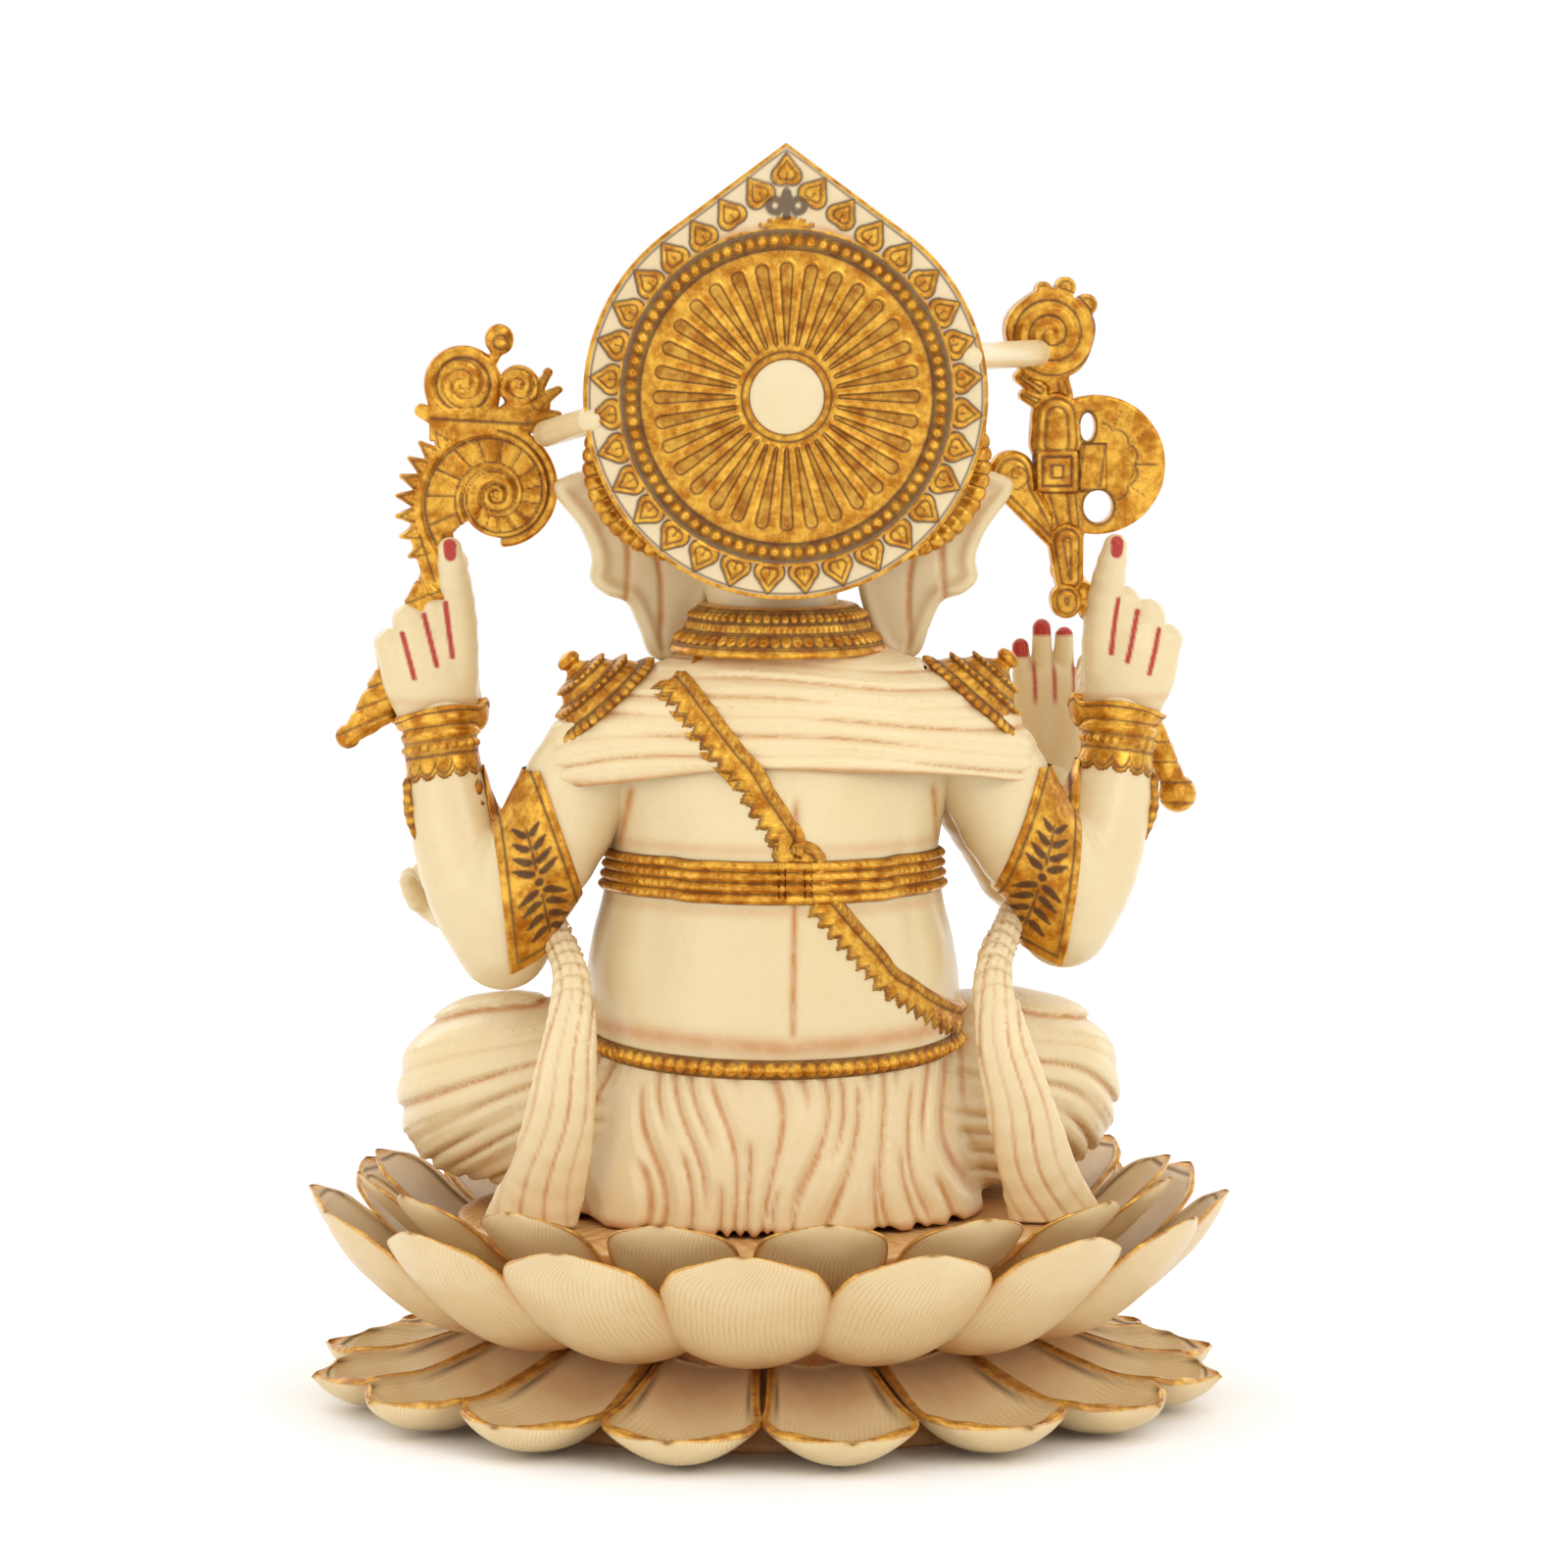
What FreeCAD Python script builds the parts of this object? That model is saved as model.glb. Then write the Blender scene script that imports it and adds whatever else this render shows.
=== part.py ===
"""Seated Ganesha idol on a double lotus, as an assembly of castings, applied ornaments and dowels.

Frame: +Z up, origin on the resting plane under the lotus, the idol faces -Y and its left hand is at +X.
All sizes are millimetres. The driving dimensions are cells of the spreadsheet `dims`.
"""
import FreeCAD, Part
import math
import os

V = FreeCAD.Vector
UP, AHEAD, SIDE = V(0, 0, 1), V(0, -1, 0), V(1, 0, 0)
LEFT, RIGHT = 1, -1
doc = FreeCAD.newDocument("GaneshaIdol")

# --- driving dimensions -------------------------------------------------------------------------
DIMENSIONS = {
    # lotus base
    "petal_count": 16, "petal_turn": 82, "petal_reach": 112, "foot_radius": 76, "foot_height": 5,
    "waist_radius": 60,
    "waist_height": 21, "seat_radius": 75, "seat_height": 46, "pod_thickness": 3, "felt_radius": 68,
    "felt_thickness": 1.2, "dowel_radius": 4, "dowel_depth": 16, "dowel_offset": 20, "dowel_gap": 0.1,
    # halo
    "halo_radius": 47.4, "halo_height": 243.3, "halo_tip": 59, "halo_back": 41, "halo_thickness": 3,
    "disc_radius": 34.2, "relief": 1.2, "bead_ring_radius": 36.2, "bead_ring_width": 2, "bead_count": 80,
    "bead_radius": 1.05, "boss_radius": 8.8, "boss_ring_radius": 10.4, "flute_count": 32, "leaf_count": 33,
    "leaf_radius": 42.9, "leaf_size": 3.7, "halo_dowel_radius": 2.5, "halo_dowel_spacing": 12,
    # figure
    "waist_line": 86, "chest_line": 184, "belt_low": 124.5, "belt_high": 134.7, "belt_relief": 1.3,
    "shawl_low": 152, "collar_radius": 21.8, "collar_low": 182.5, "collar_high": 192, "chain_radius": 1.7,
    "shoulder_x": 47, "elbow_x": 69, "wrist_x": 82, "wrist_height": 155, "elbow_height": 111,
    "knee_x": 62, "knee_radius": 24, "knee_height": 71, "head_height": 212, "crown_height": 236,
    "crown_top": 288, "lean": -4, "bowl_radius": 13, "bowl_height": 9, "sweet_radius": 4.6,
    "bracelet_height": 16,
}
sheet = doc.addObject("Spreadsheet::Sheet", "dims")
for row, (alias, value) in enumerate(DIMENSIONS.items(), start=1):
    sheet.set(f"A{row}", alias)
    sheet.set(f"B{row}", str(value))
    sheet.setAlias(f"B{row}", alias)
doc.recompute()


def dim(alias):
    """The value of a driving dimension, read from the sheet."""
    return float(sheet.get(alias))


# --- parametric helpers -------------------------------------------------------------------------
def origin_plane(body, role):
    return next(f for f in body.Origin.OriginFeatures if f.Role == role)


def bind_points(sketch, points):
    """Closes a polygon of (x, y) expression pairs and ties every corner to the sheet's cells."""
    corners = [V(evaluate(x), evaluate(y), 0) for x, y in points]
    for start, end in zip(corners, corners[1:] + corners[:1]):
        sketch.addGeometry(Part.LineSegment(start, end), False)
    total = len(corners)
    for i in range(total):
        sketch.addConstraint(make_constraint("Coincident", i, 2, (i + 1) % total, 1))
    for i, pair in enumerate(points):
        for kind, axis_line, text, value in (("DistanceX", -2, pair[0], corners[i].x),
                                             ("DistanceY", -1, pair[1], corners[i].y)):
            if text == "0":
                sketch.addConstraint(make_constraint("PointOnObject", i, 1, axis_line))
                continue
            number = sketch.addConstraint(make_constraint(kind, -1, 1, i, 1, value))
            sketch.setExpression(f"Constraints[{number}]", text)


def make_constraint(*words):
    import Sketcher
    return Sketcher.Constraint(*words)


def evaluate(text):
    """A cell expression such as 'dims.seat_height - 2' worked out as a number."""
    return float(sheet.evalExpression(text.replace("dims.", "")))


def revolved(label, profile):
    """A PartDesign body turned about the vertical axis from a polygon of (radius, height) pairs."""
    body = doc.addObject("PartDesign::Body", label)
    body.Label = label
    sketch = body.newObject("Sketcher::SketchObject", label + "_profile")
    sketch.AttachmentSupport = [(origin_plane(body, "XZ_Plane"), "")]
    sketch.MapMode = "FlatFace"
    bind_points(sketch, profile)
    turn = body.newObject("PartDesign::Revolution", label + "_turn")
    turn.Profile = sketch
    turn.ReferenceAxis = (sketch, ["V_Axis"])
    turn.Angle = 360
    doc.recompute()
    return body


def cylinder(name, radius, height, position, direction=UP):
    """A Part cylinder whose radius and height follow the sheet."""
    item = doc.addObject("Part::Cylinder", name)
    item.setExpression("Radius", radius)
    item.setExpression("Height", height)
    item.Placement = FreeCAD.Placement(position, FreeCAD.Rotation(UP, direction))
    return item


def combined(kind, label, shapes):
    """A Part::MultiFuse, Part::MultiCommon or Part::Compound of document objects."""
    item = doc.addObject(kind, label)
    item.Label = label
    if kind == "Part::Compound":
        item.Links = shapes
    else:
        item.Shapes = shapes
    doc.recompute()
    return item


def free_form(label, shape):
    """A Part::Feature for a sculpted shape that no sketch or primitive gives."""
    item = doc.addObject("Part::Feature", label)
    item.Label = label
    item.Shape = shape
    item.Placement = FreeCAD.Placement()
    return item


# --- sculpting helpers --------------------------------------------------------------------------
def scaled(shape, x, y, z):
    matrix = FreeCAD.Matrix()
    matrix.scale(x, y, z)
    return shape.transformGeometry(matrix)


def oval(centre, half_x, half_y, normal=UP, thin_way=V(0, 1, 0)):
    """An ellipse about centre, square to normal, with half_y measured towards thin_way."""
    ring = scaled(Part.Wire(Part.makeCircle(1)), half_x, half_y, 1)
    ring.Placement = FreeCAD.Placement(centre, FreeCAD.Rotation(SIDE, thin_way, normal, "ZYX"))
    return ring


def tower(sections):
    """A solid lofted through level ovals given as (height, half width, half depth, centre y)."""
    rings = [oval(V(0, y, height), a, b) for height, a, b, y in sections]
    return Part.makeLoft(rings, True, True)


def ellipsoid(centre, a, b, c, slices=10):
    """An egg shape lofted through level ovals, with small flats at its poles."""
    rings = []
    for i in range(slices + 1):
        turn = math.radians(14 + 152 * i / slices)
        rings.append(oval(centre - UP * (c * math.cos(turn)), a * math.sin(turn), b * math.sin(turn)))
    return Part.makeLoft(rings, True, True)


def limb(points, radii, flatness=1.0, thin_way=V(0, 1, 0)):
    """A rounded limb lofted through ovals along a bent line, flattened towards thin_way."""
    points = [V(*p) for p in points]
    rings = []
    for i, (point, radius) in enumerate(zip(points, radii)):
        before, after = points[max(i - 1, 0)], points[min(i + 1, len(points) - 1)]
        rings.append(oval(point, radius, radius * flatness, after - before, thin_way))
    return Part.makeLoft(rings, True, True)


def capsule(start, end, radius, end_radius=None):
    """A finger-like bar with round ends."""
    start, end = V(*start), V(*end)
    end_radius = end_radius or radius
    bar = Part.makeCone(radius, end_radius, (end - start).Length, start, end - start) \
        if abs(radius - end_radius) > 0.01 else Part.makeCylinder(radius, (end - start).Length, start,
                                                                  end - start)
    return bar.fuse([Part.makeSphere(radius, start), Part.makeSphere(end_radius, end)])


def turned(profile, foot, axis=UP):
    """A solid of revolution from (radius, height) pairs, stood on foot and pointing along axis."""
    points = [V(radius, 0, height) for radius, height in profile]
    solid = Part.Face(Part.makePolygon(points + [points[0]])).revolve(V(0, 0, 0), UP, 360)
    if solid.Volume < 0:
        solid.reverse()
    solid.Placement = FreeCAD.Placement(foot, FreeCAD.Rotation(UP, axis))
    return solid


def block(x0, x1, y0, y1, z0, z1):
    return Part.makeBox(x1 - x0, y1 - y0, z1 - z0, V(x0, y0, z0))


def mirrored(shape, side):
    """The shape itself for the left side, or its mirror image for the right."""
    return shape if side == LEFT else shape.mirror(V(0, 0, 0), SIDE)


def leaned(shape):
    """The shape moved sideways by the lean of the upper figure."""
    return shape.translated(V(dim("lean"), 0, 0))


def around(shape, count, start=0.0):
    """Copies of a shape spread evenly about the vertical axis, as one compound."""
    copies = []
    for i in range(int(count)):
        copy = shape.copy()
        copy.rotate(V(0, 0, 0), UP, start + i * 360.0 / count)
        copies.append(copy)
    return Part.makeCompound(copies)


def merged(shapes):
    """One solid from overlapping shapes, joined one at a time."""
    whole = shapes[0]
    for shape in shapes[1:]:
        whole = whole.fuse(shape)
    return whole


def less(shape, *tools):
    """The shape with every tool taken away, slivers left out."""
    for tool in tools:
        if shape.BoundBox.intersect(tool.BoundBox):
            shape = shape.cut(tool)
    biggest = max(s.Volume for s in shape.Solids)
    kept = [s for s in shape.Solids if s.Volume > 0.02 * biggest]
    return kept[0] if len(kept) == 1 else Part.makeCompound(kept)


# --- lotus base ---------------------------------------------------------------------------------
def build_dowels():
    """Two vertical dowels that hold the figure on the lotus."""
    pair = []
    for side in (LEFT, RIGHT):
        place = V(side * dim("dowel_offset"), 0, dim("seat_height") - dim("dowel_depth"))
        pair.append(cylinder(f"seat_dowel_{side + 2}", "dims.dowel_radius", "2 * dims.dowel_depth", place))
    return combined("Part::Compound", "seat_dowels", pair)


def dowel_sockets():
    """The bores that the seat dowels stand in, a little wider than the dowels."""
    reach = dim("dowel_depth") + 0.5
    return [Part.makeCylinder(dim("dowel_radius") + dim("dowel_gap"), 2 * reach,
                              V(side * dim("dowel_offset"), 0, dim("seat_height") - reach))
            for side in (LEFT, RIGHT)]


def build_core():
    """The turned core: foot, waist and flared seat, with a recess for the felt underneath."""
    profile = [("0", "dims.felt_thickness"), ("dims.felt_radius", "dims.felt_thickness"),
               ("dims.felt_radius", "0"),
               ("dims.foot_radius", "0"), ("dims.foot_radius", "dims.foot_height"),
               ("dims.waist_radius", "dims.waist_height"),
               ("dims.waist_radius + 4", "dims.waist_height + 10"),
               ("dims.seat_radius", "dims.seat_height - dims.pod_thickness"),
               ("0", "dims.seat_height - dims.pod_thickness")]
    return revolved("lotus_core_blank", profile)


def petal(line, widths, cups, thickness):
    """One spoon-shaped petal lofted along a line of (radius, height) points of its outer face.

    widths are the half widths, and cups how far the two edges curl in, at each point.
    """
    rings = []
    for i, (radius, height) in enumerate(line):
        before, after = line[max(i - 1, 0)], line[min(i + 1, len(line) - 1)]
        run = V(after[0] - before[0], 0, after[1] - before[1]).normalize()
        inward = V(-run.z, 0, run.x)
        base, half, cup = V(radius, 0, height), widths[i], cups[i]
        edge = 0.45 * thickness
        left, right = V(0, half, 0), V(0, -half, 0)
        corners = [base + left + inward * cup, base + right + inward * cup,
                   base + right * 0.97 + inward * (cup + edge), base + left * 0.97 + inward * (cup + edge)]
        outer = Part.Arc(corners[0], base, corners[1]).toShape()
        inner = Part.Arc(corners[2], base + inward * thickness, corners[3]).toShape()
        sides = [Part.LineSegment(corners[1], corners[2]).toShape(),
                 Part.LineSegment(corners[3], corners[0]).toShape()]
        rings.append(Part.Wire([outer, sides[0], inner, sides[1]]))
    return Part.makeLoft(rings, True)


def build_lotus():
    """The core, felt, seed-pod seat and the three rows of petals."""
    core = build_core().Shape
    for socket in dowel_sockets():
        core = core.cut(socket)
    free_form("lotus_core", core)
    revolved("felt_pad", [("0", "0"), ("dims.felt_radius - 0.3", "0"),
                          ("dims.felt_radius - 0.3", "dims.felt_thickness"), ("0", "dims.felt_thickness")])
    pod = Part.makeCylinder(dim("seat_radius") - 2, dim("pod_thickness"),
                            V(0, 0, dim("seat_height") - dim("pod_thickness")))
    free_form("seed_pod_seat", less(pod, *dowel_sockets()))
    count, reach, step = dim("petal_count"), dim("petal_reach"), 360.0 / dim("petal_count")
    outer = petal([(56, 24), (70, 19.5), (86, 23), (101, 35), (108, 44), (reach, 51.5)],
                  [10, 13.6, 17, 17.6, 12.5, 2.5], [3, 4, 6, 6.5, 4, 1.0], 2.4)
    free_form("upper_petals_outer", around(less(outer, core), count, dim("petal_turn")))
    inner = petal([(62, 30), (72, 34), (84, 40), (92, 47), (97, 53), (100, 57)],
                  [8, 10.5, 13, 12, 8, 2.0], [2, 3, 4, 4, 2.5, 0.6], 2.0)
    inner = less(inner, core, pod, around(outer, count, step / 2).Solids[0],
                 around(outer, count, step / 2).Solids[-1])
    free_form("upper_petals_inner", around(inner, count, dim("petal_turn") + step / 2))
    lower = petal([(58, 14), (74, 8), (88, 1.0), (100, 1.5), (107, 4.5), (reach - 0.5, 8.8)],
                  [11, 14, 16.5, 15, 10.5, 2.2], [5, 6.5, 9, 8, 5, 0.6], 4.2)
    lower = less(lower.common(block(0, 200, -40, 40, 0, 80)), core)
    free_form("lower_petals", around(lower, count, dim("petal_turn") + 0.6 * step))


# --- body ---------------------------------------------------------------------------------------
TORSO = [(86, 42, 42, 2), (96, 45, 46, -2), (108, 45, 48, -4), (120, 42.5, 46, -3), (132, 39.5, 42, 0),
         (145, 40, 36, 4), (156, 42, 30, 7), (166, 38, 25, 9), (175, 29, 20.5, 11), (184, 19, 17, 12)]
HIPS = [(46, 51, 46, 4), (56, 49, 45.5, 4), (70, 45.5, 44, 3), (86, 42.5, 42.5, 2)]


def grown(sections, extra):
    return tower([(z, a + extra, b + extra, y) for z, a, b, y in sections])


def chest_point(x, z):
    """The point on the front of the torso at a given x and height."""
    lower = max(s for s in TORSO if s[0] <= z)
    upper = min(s for s in TORSO if s[0] > z)
    share = (z - lower[0]) / (upper[0] - lower[0])
    _, half, depth, middle = [(1 - share) * low + share * high for low, high in zip(lower, upper)]
    return V(x, middle - depth * math.sqrt(1 - (x / half) ** 2), z)


def slab(low, high, margin=200):
    return block(-margin, margin, -margin, margin, low, high)


def build_legs(hips):
    """The two folded legs under the dhoti, and the feet that show in front."""
    height, radius, knee = dim("knee_height"), dim("knee_radius"), dim("knee_x")
    legs = {}
    for side, name, lap, low in ((LEFT, "left", -58, 62), (RIGHT, "right", -66, 58)):
        thigh = limb([(16, 6, 66), (34, 0, 69), (52, -12, height), (knee + 6, -20, height),
                      (knee + 16, -26, height),
                      (knee + 21, -29, height)], [19, 22, radius, radius - 2, radius - 9, 4])
        shin = limb([(knee + 8, -26, 64), (knee - 6, -42, 62), (36, lap + 4, low), (18, lap - 2, low - 3)],
                    [12, 15, 12, 9])
        leg = thigh.fuse(shin).common(slab(dim("seat_height"), 120))
        legs[name] = less(mirrored(leg, side), hips)
    legs["right"] = less(legs["right"], legs["left"])
    feet = {
        "left_foot": limb([(19, -60, 58.8), (4, -64, 55.5), (-10, -65, 53), (-20, -65, 51.5)],
                          [6.5, 6.6, 6.0, 3.4], 0.8, UP),
        "right_foot": limb([(-19, -68, 54.8), (-8, -74, 52), (6, -76, 51), (16, -76, 50)],
                           [6.0, 5.0, 4.8, 3.0], 0.8, UP),
    }
    for name in ("left", "right"):
        free_form(name + "_leg", legs[name])
    feet["left_foot"] = less(feet["left_foot"], legs["left"], legs["right"])
    feet["right_foot"] = less(feet["right_foot"], legs["right"], legs["left"], feet["left_foot"])
    for name, foot in feet.items():
        free_form(name, foot.common(slab(dim("seat_height"), 120)))
    return list(legs.values()) + list(feet.values())


def build_trunk_of_body():
    """Hips in the dhoti, torso, and the gold pieces that wrap round them."""
    hips = tower(HIPS)
    torso = tower(TORSO)
    free_form("dhoti_hips", less(hips, *dowel_sockets()))
    free_form("torso", torso)
    lower_limbs = build_legs(hips)

    belt = grown(TORSO, dim("belt_relief")).common(slab(dim("belt_low"), dim("belt_high")))
    belt = less(belt, torso)
    free_form("belt", belt)

    # The waist chain dips at the back and sits between torso and dhoti.
    tilt = FreeCAD.Rotation(V(1, 0, 0), -4)
    band = block(-120, 120, -120, 120, -dim("chain_radius"), dim("chain_radius"))
    band.Placement = FreeCAD.Placement(V(0, 0, dim("waist_line") + 1.5), tilt)
    chain = less(grown(TORSO, 2.2).fuse(grown(HIPS, 2.6)).common(band), torso, hips, *lower_limbs)
    free_form("waist_chain", chain)

    # The sacred sash runs from the left shoulder across the back and chest to the right hip.
    strip = block(-150, 150, -5, 5, -120, 120)
    strip.rotate(V(0, 0, 0), V(0, 0, 1), 90)
    strip.rotate(V(0, 0, 0), V(0, 1, 0), 34)
    strip.translate(V(-6, 0, 129))
    sash = less(grown(TORSO, 1.1).common(strip).common(slab(90, 181)), torso, belt, chain)
    free_form("sacred_sash", sash)
    return hips, torso, belt, sash, lower_limbs


def build_neckwear(torso):
    """Neck, collar and the long necklace that lies on the chest."""
    profile = [("dims.collar_radius - 7", "dims.collar_low + 1.5"),
               ("dims.collar_radius + 2", "dims.collar_low - 1.5"),
               ("dims.collar_radius + 3", "dims.collar_low + 1.5"),
               ("dims.collar_radius - 3", "dims.collar_high - 1.5"),
               ("dims.collar_radius - 5", "dims.collar_high"), ("dims.collar_radius - 9", "dims.collar_high")]
    blank = revolved("collar_blank", profile)
    blank.Placement = FreeCAD.Placement(V(0, 11, 0), FreeCAD.Rotation())
    doc.recompute()
    collar = less(blank.Shape, torso)
    free_form("necklace_collar", collar)
    strand = []
    for k in range(-5, 6):
        turn = math.radians(20 * k)
        strand.append(chest_point(21 * math.sin(turn), 167 - 20 * math.cos(turn)))
    neck = tower([(184, 13.5, 13, 11), (193, 14, 13.5, 8), (198, 15, 14, 6)])
    neck = less(neck, torso, collar)
    free_form("neck", neck)
    necklace = less(limb(strand, [2.3] * len(strand)), torso, collar, neck)
    free_form("chest_necklace", necklace)
    return collar, neck, necklace


# --- arms ---------------------------------------------------------------------------------------
def rear_arm(side, drop):
    """Upper arm, bent elbow and raised forearm of a rear arm, ending at the wrist."""
    shoulder, elbow, wrist = dim("shoulder_x"), dim("elbow_x"), dim("wrist_x")
    low, high = dim("elbow_height") - drop, dim("wrist_height")
    upper = limb([(shoulder - 8, 9, 161), (shoulder + 1, 10, 152), (shoulder + 9, 9, 138),
                  (elbow - 4, 6, low + 10),
                  (elbow - 1, 3, low + 1)], [11, 12.5, 12, 11.5, 10])
    lower = limb([(elbow - 1, 2, low), (elbow + 5, -1, low + 12), (elbow + 10, -5, low + 27),
                  (wrist, -8, high)],
                 [11, 11.2, 10, 7.4])
    bend = Part.makeSphere(11.4, V(elbow, 2.5, low + 0.5))
    return leaned(mirrored(upper.fuse([lower, bend]), side))


def raised_hand(side):
    """A fist with the first finger pointing up and the other fingers curled forward."""
    wrist, high = dim("wrist_x"), dim("wrist_height")
    palm = limb([(wrist, -8, high), (wrist + 2, -9, high + 8), (wrist + 4, -9, high + 20),
                 (wrist + 4, -9, high + 31),
                 (wrist + 4, -9, high + 35)], [7.4, 9.5, 12.6, 10.5, 4], 0.72)
    curled = [capsule((wrist + x, -6, high + z), (wrist + x, -14, high + z - 1), 3.7)
              for x, z in ((2, 36), (8, 32), (13, 27))]
    second = [capsule((wrist + x, -14, high + z), (wrist + x, -13, high + z - 10), 3.3)
              for x, z in ((2, 34), (8, 30), (13, 25))]
    first = capsule((wrist - 4, -8, high + 24), (wrist - 2, -6, high + 51), 4.4, 3.0)
    thumb = capsule((wrist - 5, -14, high + 14), (wrist + 2, -19, high + 24), 4.0, 3.2)
    return leaned(mirrored(palm.fuse(curled + second + [first, thumb]), side))


def open_hand():
    """The front right hand, raised with its palm forward and fingers up."""
    palm = limb([(-69, -40, 145), (-70, -41, 152), (-70.5, -42, 160), (-70.5, -42, 167)],
                [6.4, 8.6, 9.4, 8.4], 0.5)
    fingers = [capsule((-70.5 + x, -42, 164), (-70.5 + 1.15 * x, -42, tip), 2.7, 2.2)
               for x, tip in ((-7.2, 175), (-2.5, 182), (2.4, 184.5), (7.0, 180))]
    thumb = capsule((-63, -42, 153), (-57.5, -44.5, 165), 3.2, 2.4)
    return leaned(palm.fuse(fingers + [thumb]))


def cupped_hand():
    """The front left hand, palm up under the bowl."""
    palm = limb([(68, -46, 113), (72, -52, 113), (75, -60, 113.5), (77, -66, 114.5)], [6.2, 9.2, 10.2, 7.5],
                0.45, UP)
    fingers = [capsule((77 + x, -62 + y, 114), (81 + 1.5 * x, -64 + 2.6 * y, 120), 2.9, 2.3)
               for x, y in ((5, 4.5), (4.5, -0.2), (2.5, -4.4), (-1.2, -6.6))]
    thumb = capsule((66, -58, 114), (58.5, -63, 120.5), 3.2, 2.5)
    return leaned(palm.fuse(fingers + [thumb]))


def cuff(path_start, path_end, inner, outer, arm):
    """A sleeve between two points of a limb, hollowed by the limb itself."""
    start, end = V(*path_start), V(*path_end)
    sleeve = Part.makeCone(inner, outer, (end - start).Length, start, end - start)
    return less(leaned(sleeve), arm)


def build_arms(torso, belt, sash):
    """Four arms with their hands, bracelets and armbands."""
    shapes = {}
    for side, name, drop in ((LEFT, "left", 0), (RIGHT, "right", -4)):
        arm = less(rear_arm(side, drop), torso, belt, sash)
        hand = less(raised_hand(side), arm)
        wrist, high = dim("wrist_x") * side, dim("wrist_height")
        tall = dim("bracelet_height")
        bracelet = cuff((wrist - side * 3.6, -6.4, high - tall + 2), (wrist + side * 0.4, -8.2, high + 2.5),
                        12.2, 10.4, arm)
        bracelet = less(bracelet, hand)
        elbow, low = dim("elbow_x") * side, dim("elbow_height") - drop
        band = cuff((elbow - side * 15, 9.5, low + 28), (elbow - side * 3, 5.2, low + 4), 13.9, 13.5, arm)
        lower = limb([(side * 74, -1, low + 8), (side * 80, -5, low + 30)], [11.4, 11.4])
        band = less(band, leaned(lower), torso, belt)
        shapes["rear_" + name + "_arm"] = arm
        shapes["rear_" + name + "_hand"] = hand
        shapes["rear_" + name + "_bracelet"] = bracelet
        shapes["rear_" + name + "_armband"] = band
    left = limb([(38, -12, 158), (47, -16, 148), (56, -24, 132), (62, -32, 119), (65, -40, 114),
                 (68, -46, 113)],
                [9, 11, 10.5, 10.2, 8.6, 6.2])
    right = limb([(-38, -12, 158), (-47, -16, 148), (-56, -24, 134), (-62, -31, 123), (-66.5, -35, 129),
                  (-69, -40, 145)], [9, 11, 10.5, 9.6, 8.8, 6.4])
    bodies = [torso, belt, sash]
    for name, arm, hand in (("left", left, cupped_hand()), ("right", right, open_hand())):
        arm = less(leaned(arm), *bodies, shapes["rear_" + name + "_arm"], shapes["rear_" + name + "_armband"])
        shapes["front_" + name + "_arm"] = arm
        shapes["front_" + name + "_hand"] = less(hand, arm)
    cuffs = {"left": ((63.6, -36.5, 115.5), (67.6, -45.2, 113.4), 10.4, 8.6),
             "right": ((-67.2, -36.2, 132.5), (-68.9, -39.6, 143.5), 10.2, 8.4)}
    for name, (start, end, wide, narrow) in cuffs.items():
        ring = cuff(start, end, wide, narrow, shapes["front_" + name + "_arm"])
        ring = less(ring, shapes["front_" + name + "_hand"], shapes["rear_" + name + "_arm"],
                    shapes["rear_" + name + "_armband"])
        shapes["front_" + name + "_bracelet"] = ring
    for name, shape in shapes.items():
        free_form(name, shape)
    return shapes


# --- shawl --------------------------------------------------------------------------------------
def build_shawl(torso, arms, collar, neck, sash, hips, lower_limbs):
    """The shawl over the shoulders, its two hanging ends, and the shoulder cones on top of it."""
    drape = tower([(dim("shawl_low"), 60, 31.5, 10), (158, 59.5, 30.5, 10), (165, 56, 27.5, 11),
                   (172, 48, 25, 12),
                   (179, 34, 22, 12.5), (185, 22, 18.5, 13)])
    limbs = [shape for name, shape in arms.items() if name.endswith("_arm")]
    bands = [shape for name, shape in arms.items() if name.endswith("_armband")]
    tiers = [(0, -2), (13.9, -2), (13.9, 0.6), (12.4, 0.6), (10.6, 3), (10.6, 4.4), (8.6, 4.4), (6.8, 7),
             (6.8, 8.2),
             (4.6, 8.2), (2.4, 10.4), (2.9, 11.6), (2.4, 13.2), (0, 14.2)]
    cones = []
    for side, name in ((LEFT, "left"), (RIGHT, "right")):
        cone = turned(tiers, V(side * 44.5, 13, 170.5), V(side * 0.66, 0.02, 0.75))
        cones.append(less(leaned(cone), torso, *limbs))
        free_form(name + "_shoulder_cone", cones[-1])
    shawl = leaned(drape).common(block(-90, 90, -9, 60, 140, 200))
    shawl = less(shawl, torso, collar, neck, sash, *limbs, *cones)
    free_form("shawl", shawl)
    for side, name, spread in ((LEFT, "left", 0), (RIGHT, "right", 3)):
        tail = limb([(45, 20, 122), (49, 23, 108), (53, 25, 90), (57 + spread, 25, 70), (61 + spread, 24, 56),
                     (66 + 1.6 * spread, 23, 47)], [5, 8.5, 9.5, 10.5, 12, 13], 0.5)
        tail = leaned(mirrored(tail, side)).common(slab(dim("seat_height"), 130))
        tail = less(tail, torso, hips, *lower_limbs, *limbs, *bands)
        free_form(name + "_shawl_tail", tail)
    return shawl


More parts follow.
